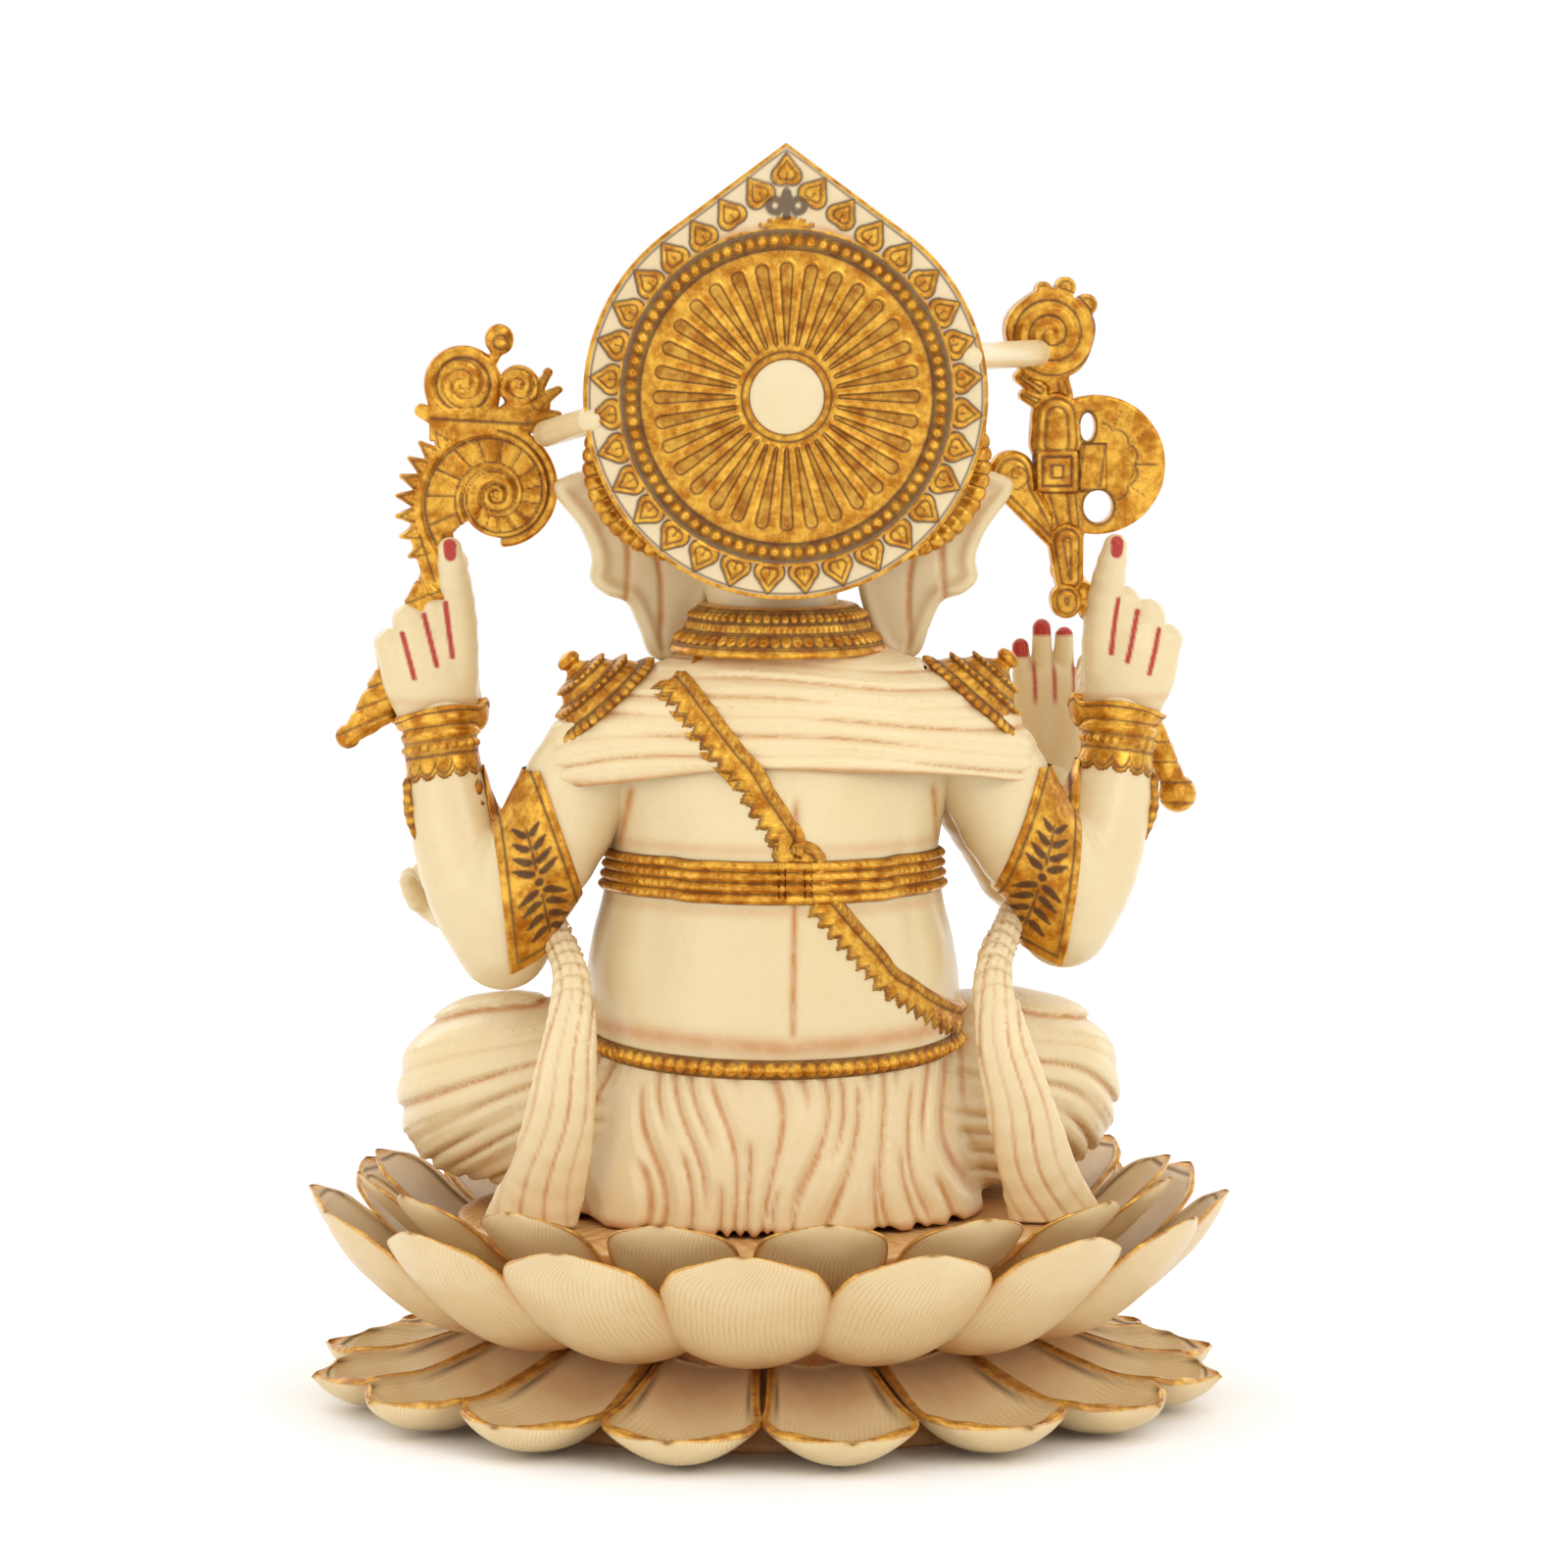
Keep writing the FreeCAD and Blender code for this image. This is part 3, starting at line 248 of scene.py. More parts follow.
def surface(field, low, high, cell):
    """Meshes the zero surface of a distance field with surface nets on sparse blocks."""
    low, high = vec(*low) - 2 * cell, vec(*high) + 2 * cell
    shape = np.ceil((high - low) / (cell * BLOCK)).astype(int)
    grid = np.stack(np.meshgrid(*[np.arange(n) for n in shape], indexing="ij"), -1).reshape(-1, 3)
    middle = low + (grid + 0.5) * BLOCK * cell
    reach = 0.5 * math.sqrt(3) * BLOCK * cell
    batches = np.array_split(middle, max(1, len(middle) // 60000))
    near = np.concatenate([np.abs(field(part)) for part in batches])
    grid = grid[near < 1.5 * reach + 1.0]
    n = BLOCK + 1
    steps = np.stack(np.meshgrid(*[np.arange(n)] * 3, indexing="ij"), -1).reshape(-1, 3)
    total = shape * BLOCK + 2
    ids, points, quads = [], [], []
    for part in np.array_split(grid, max(1, math.ceil(len(grid) / 400))):
        base = part * BLOCK
        nodes = low + (base[:, None, :] + steps[None]) * cell
        value = field(nodes.reshape(-1, 3)).reshape(-1, n, n, n)
        corner = np.stack([value[:, i:i + BLOCK, j:j + BLOCK, k:k + BLOCK] for i, j, k in CORNERS], -1)
        inside = corner < 0
        active = inside.any(-1) & ~inside.all(-1)
        b, i, j, k = np.nonzero(active)
        if not len(b):
            continue
        c = corner[b, i, j, k]
        where, hits = np.zeros((len(b), 3)), np.zeros(len(b))
        for e, g in EDGES:
            crossed = (c[:, e] < 0) != (c[:, g] < 0)
            t = np.where(crossed, c[:, e] / np.where(crossed, c[:, e] - c[:, g], 1), 0)
            where += crossed[:, None] * (CORNERS[e] + t[:, None] * (CORNERS[g] - CORNERS[e]))
            hits += crossed
        cells = base[b] + np.stack([i, j, k], -1)
        points.append(low + (cells + where / hits[:, None]) * cell)
        ids.append((cells[:, 0] * total[1] + cells[:, 1]) * total[2] + cells[:, 2])
        for axis in range(3):
            step = np.eye(3, dtype=int)[axis]
            other = c[:, [r for r in range(8) if (CORNERS[r] == step).all()][0]]
            flip = (c[:, 0] < 0) != (other < 0)
            u, w = np.eye(3, dtype=int)[(axis + 1) % 3], np.eye(3, dtype=int)[(axis + 2) % 3]
            ring = np.stack([cells[flip] + shift for shift in (-u - w, -w, 0 * u, -u)], 1)
            ring = np.where((c[flip, 0] < 0)[:, None, None], ring, ring[:, ::-1])
            quads.append((ring[..., 0] * total[1] + ring[..., 1]) * total[2] + ring[..., 2])
    ids, points, quads = np.concatenate(ids), np.concatenate(points), np.concatenate(quads)
    order = np.argsort(ids)
    ids, points = ids[order], points[order]
    faces = np.minimum(np.searchsorted(ids, quads), len(ids) - 1)
    faces = faces[(ids[faces] == quads).all(1)]
    for _ in range(2):
        value, slope = gradient(field, points, 0.35 * cell)
        points = points - np.clip(value, -cell, cell)[:, None] * 0.8 * slope
    return points, faces


def gradient(field, p, step):
    """A field and its unit slope at points, by central differences."""
    value = field(p)
    slope = np.stack([field(p + step * axis) - field(p - step * axis) for axis in np.eye(3)], 1)
    return value, unit(slope)


def volume_of(mesh):
    """Signed volume, which is negative where a mesh is inside out."""
    mesh.calc_loop_triangles()
    spots, corners = np.empty(3 * len(mesh.vertices)), np.empty(3 * len(mesh.loop_triangles), int)
    mesh.vertices.foreach_get("co", spots)
    mesh.loop_triangles.foreach_get("vertices", corners)
    a, b, c = spots.reshape(-1, 3)[corners.reshape(-1, 3)].transpose(1, 0, 2)
    return np.sum(a * np.cross(b, c)) / 6


def add_piece(name, skin, look, *nodes):
    """Makes a piece from (points in mm, faces, paint layers), riding on the root body.

    A name that ends in _skin stands for the given CAD nodes, or for the one that it is named after.
    """
    (points, faces, paint), (material, slot) = skin, look
    mesh = bpy.data.meshes.new(name)
    mesh.from_pydata((np.asarray(points) * MM).tolist(), [], [list(map(int, f)) for f in faces])
    mesh.validate()
    if volume_of(mesh) < 0:
        mesh.flip_normals()
    mesh.shade_smooth()
    for key, values in paint.items():
        layer = mesh.attributes.new(key, "FLOAT", "POINT")
        layer.data.foreach_set("value", np.clip(values, 0, 1).astype(np.float32))
    mesh.materials.append(material)
    piece = bpy.data.objects.new(name, mesh)
    SCENE.collection.objects.link(piece)
    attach(piece, "root")
    if name.endswith("_skin"):
        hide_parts(*(nodes or [name.removesuffix("_skin")]))


def sculpt(name, field, box, cell, look, *nodes, paint=None):
    """Meshes a field inside a box (low corner, high corner) as a piece; paint(points) colours it."""
    points, faces = surface(field, *box, cell)
    add_piece(name, (points, faces, (paint or paint_of)(points)), look, *nodes)


def beside(side, near, far, low, high):
    """A box on one side of the figure: X runs from near to far of its middle, (y, z) from low to high."""
    x_low, x_high = sorted((LEAN + side * near, LEAN + side * far))
    return (x_low, *low), (x_high, *high)


def sheet_faces(rows, columns, wrap_rows=False, wrap_columns=False):
    i = np.arange(rows if wrap_rows else rows - 1)
    j = np.arange(columns if wrap_columns else columns - 1)
    i, j = np.meshgrid(i, j, indexing="ij")
    ni, nj = (i + 1) % rows, (j + 1) % columns
    corners = [i * columns + j, ni * columns + j, ni * columns + nj, i * columns + nj]
    return np.stack(corners, -1).reshape(-1, 4)


def slab_mesh(outer, inner, wrap=False):
    """A closed skin from an outer and an inner grid of the same shape (rows, columns, 3)."""
    rows, columns = outer.shape[:2]
    count = rows * columns
    top = sheet_faces(rows, columns, wrap_rows=wrap)
    faces = [top, top[:, ::-1] + count]
    edge = [(np.arange(rows) * columns, wrap), (np.arange(rows) * columns + columns - 1, wrap)]
    if not wrap:
        edge += [(np.arange(columns), False), (np.arange(columns) + (rows - 1) * columns, False)]
    for n, (line, is_loop) in enumerate(edge):
        a, b = (line, np.roll(line, -1)) if is_loop else (line[:-1], line[1:])
        quad = np.stack([a, a + count, b + count, b], -1)
        faces.append(quad if n in (0, 3) else quad[:, ::-1])
    return np.concatenate([outer.reshape(-1, 3), inner.reshape(-1, 3)]), np.concatenate(faces)


def merge(parts):
    """Joins (points, faces, paint) meshes into one."""
    faces, offset = [], 0
    for points, part_faces, _ in parts:
        faces.extend([[c + offset for c in face] for face in part_faces])
        offset += len(points)
    paint = {key: np.concatenate([layers[key] for _, _, layers in parts]) for key in parts[0][2]}
    return np.concatenate([points for points, _, _ in parts]), faces, paint


# --- materials ----------------------------------------------------------------------------------
class Shader:
    """Short-hand for building a node tree."""

    def __init__(self, name):
        self.material = bpy.data.materials.new(name)
        self.material.use_nodes = True
        self.tree = self.material.node_tree
        self.out = self.tree.nodes["Principled BSDF"]

    def node(self, kind, **settings):
        item = self.tree.nodes.new(kind)
        for key, value in settings.items():
            if hasattr(item, key):
                setattr(item, key, value)
            else:
                item.inputs[key.replace("_", " ")].default_value = value
        return item

    def join(self, source, target):
        self.tree.links.new(source, target)

    def attribute(self, name):
        return self.node("ShaderNodeAttribute", attribute_name=name).outputs["Fac"]

    def math(self, op, a, b=None):
        item = self.node("ShaderNodeMath", operation=op)
        for n, value in enumerate((a, b)):
            if value is None:
                continue
            if isinstance(value, (int, float)):
                item.inputs[n].default_value = value
            else:
                self.join(value, item.inputs[n])
        return item.outputs[0]

    def add(self, a, b):
        return self.math("ADD", a, b)

    def mul(self, a, b):
        return self.math("MULTIPLY", a, b)

    def noise(self, scale, detail=3.0, rough=0.55):
        item = self.node("ShaderNodeTexNoise", Scale=scale, Detail=detail, Roughness=rough)
        where = self.node("ShaderNodeTexCoord")
        self.join(where.outputs["Object"], item.inputs["Vector"])
        return item.outputs["Fac"]

    def mix(self, share, a, b):
        item = self.node("ShaderNodeMix", data_type="RGBA")
        for socket, value in ((item.inputs[0], share), (item.inputs[6], a), (item.inputs[7], b)):
            if isinstance(value, (int, float)):
                socket.default_value = value
            elif isinstance(value, tuple):
                socket.default_value = (*value, 1)
            else:
                self.join(value, socket)
        return item.outputs[2]

    def band(self, value, low, high):
        item = self.node("ShaderNodeMapRange", interpolation_type="SMOOTHSTEP", From_Min=low, From_Max=high)
        self.join(value, item.inputs["Value"])
        return item.outputs["Result"]

    def bump(self, height, strength, distance):
        item = self.node("ShaderNodeBump", Strength=strength, Distance=distance)
        self.join(height, item.inputs["Height"])
        self.join(item.outputs["Normal"], self.out.inputs["Normal"])


def srgb(r, g, b):
    return tuple(((c / 255 + 0.055) / 1.055) ** 2.4 if c > 10 else c / 3294.6 for c in (r, g, b))


INK, TAN, RED = srgb(56, 19, 2), srgb(196, 126, 58), srgb(176, 46, 34)
DEEP_GOLD, BRIGHT_GOLD = srgb(176, 106, 18), srgb(240, 184, 70)


def painted(name, base, shade, gloss, streaks=False, slot=None):
    """Cast resin: cream colour, a tan layer that is wash in the crevices and painted shade on the petals, and
    gold, dark line and red paint laid on by attributes.
    """
    s = Shader(name)
    cloudy = s.band(s.noise(28, 4), 0.35, 0.7)
    colour = s.mix(s.mul(cloudy, 0.4), base, shade)
    speck = s.band(s.noise(420, 2, 0.7), 0.5, 0.72)
    colour = s.mix(s.mul(speck, 0.05), colour, TAN)
    brushed = s.band(s.noise(160, 5, 0.65), 0.25, 0.7)
    wash = s.mul(s.attribute("wash"), s.add(s.mul(brushed, 0.45), 0.62))
    if streaks:
        across = s.mul(s.attribute("across"), 190.0)
        streak = s.band(s.math("SINE", s.add(across, s.mul(s.noise(90, 3), 9.0))), -0.1, 1.0)
        wash = s.math("MAXIMUM", wash, s.mul(s.mul(streak, brushed), 0.30))
    colour = s.mix(wash, colour, TAN)
    colour = s.mix(s.attribute("red"), colour, RED)
    gold, line = s.attribute("gold"), s.attribute("line")
    patchy = s.band(s.noise(240, 5, 0.7), 0.34, 0.68)
    colour = s.mix(gold, colour, s.mix(patchy, DEEP_GOLD, BRIGHT_GOLD))
    colour = s.mix(s.mul(line, 0.93), colour, INK)
    s.join(colour, s.out.inputs["Base Color"])
    s.join(s.mul(gold, s.math("SUBTRACT", 0.72, s.mul(line, 0.7))), s.out.inputs["Metallic"])
    rough = s.add(s.add(s.mul(s.noise(75, 3), 0.16), gloss - 0.08), s.mul(line, 0.4))
    s.join(s.add(rough, s.mul(wash, 0.12)), s.out.inputs["Roughness"])
    s.out.inputs["IOR"].default_value = 1.48
    height = s.add(s.mul(s.noise(330, 4, 0.6), 0.5), s.mul(s.noise(70, 2), 0.8))
    if streaks:
        height = s.add(height, s.mul(streak, -0.55))
    s.bump(s.add(height, s.mul(s.mul(gold, patchy), 0.35)), 0.35, 0.00025)
    return s.material, slot or name


def plain(name, colour, rough, metallic, bump, scale):
    """An even finish with faint patches and a fine grain."""
    s = Shader(name)
    patch = s.band(s.noise(scale * 0.4, 4), 0.3, 0.7)
    s.join(s.mix(s.mul(patch, 0.35), colour, tuple(0.6 * c for c in colour)), s.out.inputs["Base Color"])
    s.out.inputs["Roughness"].default_value = rough
    s.out.inputs["Metallic"].default_value = metallic
    s.bump(s.noise(scale, 5), bump, 0.0003)
    return s.material


SKIN = painted("skin_resin", srgb(228, 208, 163), srgb(222, 197, 146), 0.24)
CLOTH = painted("shawl_resin", srgb(234, 213, 168), srgb(227, 198, 146), 0.28)
DHOTI = (CLOTH[0], "dhoti_resin")
PETAL = painted("petal_resin", srgb(228, 205, 158), srgb(219, 192, 142), 0.32, streaks=True)
GILT = painted("gold_relief", srgb(230, 212, 172), srgb(214, 190, 140), 0.3, slot="gold_paint")
IVORY = painted("ivory_resin", srgb(250, 240, 214), srgb(240, 222, 184), 0.25)
EYE = painted("eye_paint", srgb(246, 240, 226), srgb(236, 224, 200), 0.18)
SWEET = painted("sweet_paint", srgb(238, 186, 96), srgb(222, 150, 70), 0.4)


def paint_of(points, **given):
    """All four paint layers, zero where not given."""
    layers = {key: np.zeros(len(points)) for key in ("wash", "gold", "line", "red")}
    for key, values in given.items():
        layers[key] = np.broadcast_to(values, len(points)).astype(float)
    return layers


# --- lotus --------------------------------------------------------------------------------------
PETALS = 16
ABOVE_FLOOR = 0.12


def petal(line, widths, cups, thick, rim_inside, base_wash, rows=46, columns=27):
    """One closed petal around +X: a spoon whose edges curl inwards and whose tip is rounded to a point."""
    table = spline(np.column_stack([np.asarray(line, float), widths, cups]), rows)
    r, z, half, cup = table.T
    length = walked(np.column_stack([r, z]))
    left_over = length[-1] - length
    half = np.maximum(half * np.sqrt(np.clip(1 - np.clip(1 - left_over / 9.0, 0, 1) ** 2.2, 0, 1)), 0.15)
    dr, dz = np.gradient(r), np.gradient(z)
    inward = unit(np.column_stack([-dz, dr]))
    v = np.sin(np.linspace(-math.pi / 2, math.pi / 2, columns))
    full = thick * np.clip(left_over / 5.0, 0.12, 1)

    def skin(depth):
        lift = cup[:, None] * (v ** 2)[None] + depth
        x = r[:, None] + inward[:, :1] * lift
        h = z[:, None] + inward[:, 1:] * lift
        y = half[:, None] * v[None] * (1 - 0.02 * np.abs(v)[None])
        return np.stack([x, y, h], -1)

    edge = np.minimum((1 - np.abs(v))[None] * half[:, None], left_over[:, None] * 0.85)
    rim = rim_inside * bump_at(edge - 2.0, 1.0) * ramp(left_over, 0.3, 2)[:, None]
    outer = skin(np.zeros((rows, columns)))
    inner = skin(full[:, None] * (1 - 0.62 * np.abs(v)[None] ** 3) + rim)
    ring = np.concatenate([outer, inner[:, ::-1]], 1)
    count = ring.shape[1]
    faces = sheet_faces(rows, count, wrap_columns=True)[:, ::-1].tolist()
    faces.append(list(range(count)))
    faces.append([(rows - 1) * count + c for c in range(count)][::-1])
    along = np.repeat(length[:, None] / length[-1], columns, 1)
    # Painted shade on the petal's outside: tan that darkens towards its base and along its flanks, between
    # neighbouring petals.
    low = base_wash * (1 - ramp(along, 0.15, 0.58)) * 0.9
    flank_shade = 0.85 * bump_at(edge, 2.2) * (1 - ramp(along, 0.55, 0.95)) * base_wash
    across = np.broadcast_to(0.5 + 0.5 * v, (rows, columns)) * (0.35 + 0.65 * half[:, None] / half.max())
    thin = ramp(-edge, -0.75, -0.2)
    outer_paint = {"wash": np.maximum(low, flank_shade), "gold": 0.75 * thin * ramp(along, 0.4, 0.7),
                   "line": 0 * edge}
    band = bump_at(edge - 1.1, 0.95)
    # Painted shade inside the cup: tan that deepens towards the base, with more of it on the upper rows.
    deep = 0.03 + 0.4 * (1 - ramp(along, 0.22, 0.5)) + 0.3 * (1 - min(rim_inside, 1.0))
    inner_paint = {"wash": deep, "gold": np.maximum(thin, band * rim_gold(rim_inside)),
                   "line": 0.85 * bump_at(edge - 2.7, 0.42) + 0.25 * bump_at(edge - 0.2, 0.3)}
    paint = {}
    for key in ("wash", "gold", "line"):
        paint[key] = np.concatenate([outer_paint[key], inner_paint[key][:, ::-1]], 1).ravel()
    paint["across"] = np.concatenate([across, across[:, ::-1]], 1).ravel()
    paint["red"] = np.zeros(rows * count)
    return ring.reshape(-1, 3), faces, paint


def rim_gold(rim_inside):
    return 0.55 + 0.45 * min(rim_inside, 1.0)


def ring_of(one, start, jitter):
    """Copies of a petal around the vertical axis, each a little different."""
    points, faces, paint = one
    copies = []
    for i in range(PETALS):
        turn = math.radians(start + 360.0 * i / PETALS)
        spread, drop = 1 + jitter * rng.uniform(-1, 1), rng.uniform(-0.5, 0.5)
        p = points.copy()
        reach = ramp(p[:, 0], 70, 110)
        p[:, 2] = p[:, 2] + drop * reach
        p[:, 1] = p[:, 1] * spread + reach * rng.uniform(-0.7, 0.7)
        c, s = math.cos(turn), math.sin(turn)
        turned_points = np.column_stack([c * p[:, 0] - s * p[:, 1], s * p[:, 0] + c * p[:, 1], p[:, 2]])
        copies.append((turned_points, faces, paint))
    return merge(copies)


def make_lotus():
    start, half_step = 82.0, 180.0 / PETALS
    outer = petal([(58, 25), (70, 19.6), (86, 23), (101, 35), (108, 44), (111.6, 51.2)],
                  [11, 15.5, 19.2, 20.2, 17.0, 8.5], [3, 4.5, 6.2, 6.2, 4, 0.6], 2.2, 0.5, 1.0)
    inner = petal([(60, 31), (72, 34), (84, 40), (92, 47), (97, 52.5), (99.6, 56.6)],
                  [9, 12, 15.5, 15.6, 12.8, 7], [2, 3, 4, 4, 2.5, 0.5], 1.8, 0.5, 1.0)
    lower = petal([(60, 15), (74, 7.5), (88, 1.3), (100, 1.6), (107, 4.6), (111.2, 8.6)],
                  [12, 15, 18.2, 18.4, 15.5, 8], [5, 7, 9.4, 8.6, 5.4, 1.0], 3.4, 1.0, 0.8)
    for name, one, turn, jitter in (("upper_petals_outer", outer, start, 0.02),
                                    ("upper_petals_inner", inner, start + half_step, 0.02),
                                    ("lower_petals", lower, start + 13.5, 0.015)):
        points, faces, paint = ring_of(one, turn, jitter)
        points[:, 2] = np.maximum(points[:, 2], ABOVE_FLOOR)
        add_piece(name + "_skin", (points, faces, paint), PETAL)
    make_core()


def make_core():
    """The turned core between the petal rows, and the pod the figure sits on."""
    profile = spline([(0.01, 1.3), (67.9, 1.3), (68, 0.2), (75.8, 0.2), (75.8, 4), (69, 11), (60.5, 20),
                      (63, 28), (70, 37), (74.5, 43), (73, 45.6), (60, 46), (0.01, 46)], 120)
    profile[:, 0] = np.maximum(profile[:, 0], 0.01)
    columns, flutes = 360, 96
    turn = np.linspace(0, 2 * math.pi, columns, endpoint=False)
    r, z = (np.broadcast_to(values[:, None], (len(profile), columns)) for values in profile.T)
    r = r + 0.35 * np.cos(turn * flutes) * ramp(z, 5, 12) * ramp(-z, -44, -36)
    points = np.stack([r * np.cos(turn), r * np.sin(turn), z], -1).reshape(-1, 3)
    faces = sheet_faces(len(profile), columns, wrap_columns=True)
    radius = r.ravel()
    top = ramp(points[:, 2], 44.5, 45.8)
    stamens = top * (0.5 + 0.5 * np.sin(radius * 2.1) * np.sin(np.tile(turn, len(profile)) * 80))
    wash = np.maximum(0.9 * (1 - top), 0.4 + 0.5 * stamens)
    paint = paint_of(points, wash=wash, gold=0.55 * top * stamens)
    paint["across"] = 0.5 + 0 * radius
    add_piece("lotus_core_skin", (points, faces[:, ::-1], paint), PETAL, "lotus_core", "seed_pod_seat")


# --- halo ---------------------------------------------------------------------------------------
HALO = vec(-1.0, 41.0, 243.3)
HALO_R, HALO_TIP = 47.4, 59.0
TOUCH = math.acos(HALO_R / HALO_TIP)
BOSS_R, LIP_R, DISC_R, BEADS_R, RING_R = 8.8, 10.4, 34.4, 36.4, 38.4
FLUTES, FLUTE_START, FLUTE_LENGTH = 32, 12.5, 17.3
SPOKES = 960


def halo_edge(angle, inset=0.0):
    """Radius of the pointed outline at an angle from the tip, optionally inset."""
    off = np.abs((angle + math.pi) % (2 * math.pi) - math.pi)
    straight = (HALO_R - inset) / np.cos(np.clip(TOUCH - off, -1.2, 1.2))
    return np.where(off < TOUCH, straight, HALO_R - inset)


def heart(u, v, size):
    """Signed distance, roughly, to a heart-shaped leaf whose point is at +v."""
    u, v = np.abs(u) / size, v / size
    body = np.hypot(u - 0.36, v + 0.30) - 0.56
    tip = np.hypot(u, v + 0.2) - 0.60
    wedge = (u * 0.80 + v * 0.60) - 0.66
    shape = np.maximum(smin(body, tip, 0.15), -10)
    point = np.maximum(np.maximum(wedge, -v - 0.25), u - 0.8)
    return smin(shape, point, 0.08) * size


def halo_relief(r, angle):
    """Height of the relief and its paint at polar positions on the halo's face."""
    height = np.zeros_like(r)
    gold, line, wash = np.zeros_like(r), np.zeros_like(r), np.zeros_like(r)
    # fluted disc
    near = from_nearest(angle, FLUTES)
    side, out = r * np.sin(near), r * np.cos(near)
    t = np.clip((out - FLUTE_START) / FLUTE_LENGTH, 0, 1)
    loop = np.hypot(side, out - FLUTE_START - FLUTE_LENGTH * t) - (0.42 + 1.12 * t)
    disc = (r > LIP_R) & (r < DISC_R)
    height += disc * (0.55 - 0.5 * ramp(-loop, -0.05, 0.8) + 0.28 * bump_at(loop - 0.35, 0.3))
    gold = np.where(disc, 1.0, gold)
    line = np.where(disc, 0.95 * bump_at(loop + 0.05, 0.24), line)
    line = np.where(disc, np.maximum(line, 0.28 * ramp(-loop, 0.1, 0.9)), line)
    # beads
    gap = np.hypot(r - BEADS_R, BEADS_R * from_nearest(angle, 80))
    ring = (r >= DISC_R) & (r <= RING_R)
    height += ring * (0.25 + np.sqrt(np.clip(1.25 ** 2 - gap ** 2, 0, None)))
    gold = np.where(ring, 1.0, gold)
    line = np.where(ring, 0.8 * ramp(gap, 1.05, 1.45), line)
    for edge, wide in ((DISC_R, 0.42), (RING_R + 0.25, 0.42), (10.5, 0.3)):
        line = np.maximum(line, 0.95 * bump_at(r - edge, wide))
    rail = bump_at(r - RING_R - 0.75, 0.5)
    height += 0.45 * rail
    # boss
    boss = r < BOSS_R
    height += boss * (0.8 + 0.7 * np.sqrt(np.clip(1 - (r / BOSS_R) ** 2, 0, 1)))
    lip = (r >= BOSS_R) & (r <= LIP_R)
    height += lip * 1.35
    gold = np.where(lip | (rail > 0.5), 1.0, gold)
    line = np.maximum(line, 0.9 * bump_at(r - 8.9, 0.22))
    # field of leaves
    edge = halo_edge(angle)
    leaves, ink, relief = leaf_field(r, angle)
    field = r > RING_R + 1.1
    height += field * relief
    gold = np.where(field, np.maximum(gold, leaves), gold)
    line = np.where(field, np.maximum(line, ink), line)
    wash = np.where(field, 0.12 + 0.55 * bump_at(r - RING_R - 1.4, 0.9), wash)
    rim = ramp(r - edge, -1.15, -0.7)
    gold = np.maximum(gold, rim * field)
    line = np.maximum(line * (1 - rim * field), 0.85 * bump_at(r - edge + 1.35, 0.3) * field)
    height = height * ramp(edge - r, 0.0, 0.5)
    return height, gold, line, wash


def leaf_spots(count=33):
    """Centres and tilts of the leaves, evenly spaced along an inset of the outline."""
    fine = np.linspace(0, 2 * math.pi, 3601)
    radius = halo_edge(fine, 5.2)
    x, z = radius * np.sin(fine), radius * np.cos(fine)
    walk = walked(np.column_stack([x, z]))
    at = np.interp(walk[-1] * np.arange(count) / count, walk, fine)
    off = (at + math.pi) % (2 * math.pi) - math.pi
    tilt = np.where(np.abs(off) < TOUCH, np.sign(off) * TOUCH, off)
    tilt[0] = 0.0
    return np.interp(at, fine, x), np.interp(at, fine, z), tilt


def leaf_field(r, angle):
    """Gold, ink and height of the leaves round the rim and of the lily."""
    x, z = r * np.sin(angle), r * np.cos(angle)
    gold, ink, relief = np.zeros_like(r), np.zeros_like(r), np.zeros_like(r)
    for cx, cz, tilt in zip(*leaf_spots()):
        dx, dz = x - cx, z - cz
        if not (np.hypot(dx, dz) < 6).any():
            continue
        u = dx * math.cos(tilt) - dz * math.sin(tilt)
        v = dx * math.sin(tilt) + dz * math.cos(tilt)
        outline = heart(u, v, 3.9)
        inner = heart(u, v + 0.2, 2.2)
        stem = np.abs(u) + 0.08 * np.abs(v)
        inside = ramp(-outline, -0.1, 0.25)
        gold = np.maximum(gold, inside)
        marks = np.maximum(0.95 * bump_at(outline, 0.3), 0.85 * bump_at(inner, 0.27) * (v > -2.4))
        marks = np.maximum(marks, 0.8 * bump_at(stem - 0.1, 0.22) * (v < -0.2) * (outline < 0))
        ink = np.maximum(ink, marks)
        relief = np.maximum(relief, inside * (0.75 - 0.3 * bump_at(inner, 0.4) + 0.25 * ramp(-inner, 0, 1)))
    lily_gold, lily_ink, lily_relief = lily_field(x, z)
    return strongest(gold, lily_gold), strongest(ink, lily_ink), strongest(relief, lily_relief)


def lily_field(x, z):
    """A three-pointed lily on a stepped foot above the bead ring, in dark paint on a low relief."""
    v = z - RING_R - 1.2
    u = np.abs(x)
    petal_up = np.hypot(u * 1.5, (v - 6.4) * 0.75) - 2.0
    side = np.abs(np.hypot(u - 2.7, v - 4.9) - 1.5) - 0.8
    side = np.maximum(side, 3.4 - v - 0.4 * u)
    steps = 2.0 * np.floor(np.clip(v, 0, 2.4) / 0.9)
    foot = np.maximum(u - 6.3 + steps, np.abs(v - 1.1) - 1.3)
    stalk = np.maximum(u - 0.9, np.abs(v - 3.2) - 1.6)
    lily = np.minimum(np.minimum(petal_up, side), stalk)
    near = (np.abs(x) < 9) & (v > -0.4) & (v < 11)
    inked = ramp(-lily, -0.25, 0.15) * near
    base = ramp(-foot, -0.2, 0.2) * near
    return base, np.maximum(0.9 * inked, 0.8 * bump_at(foot, 0.22) * near), 0.5 * inked + 0.4 * base


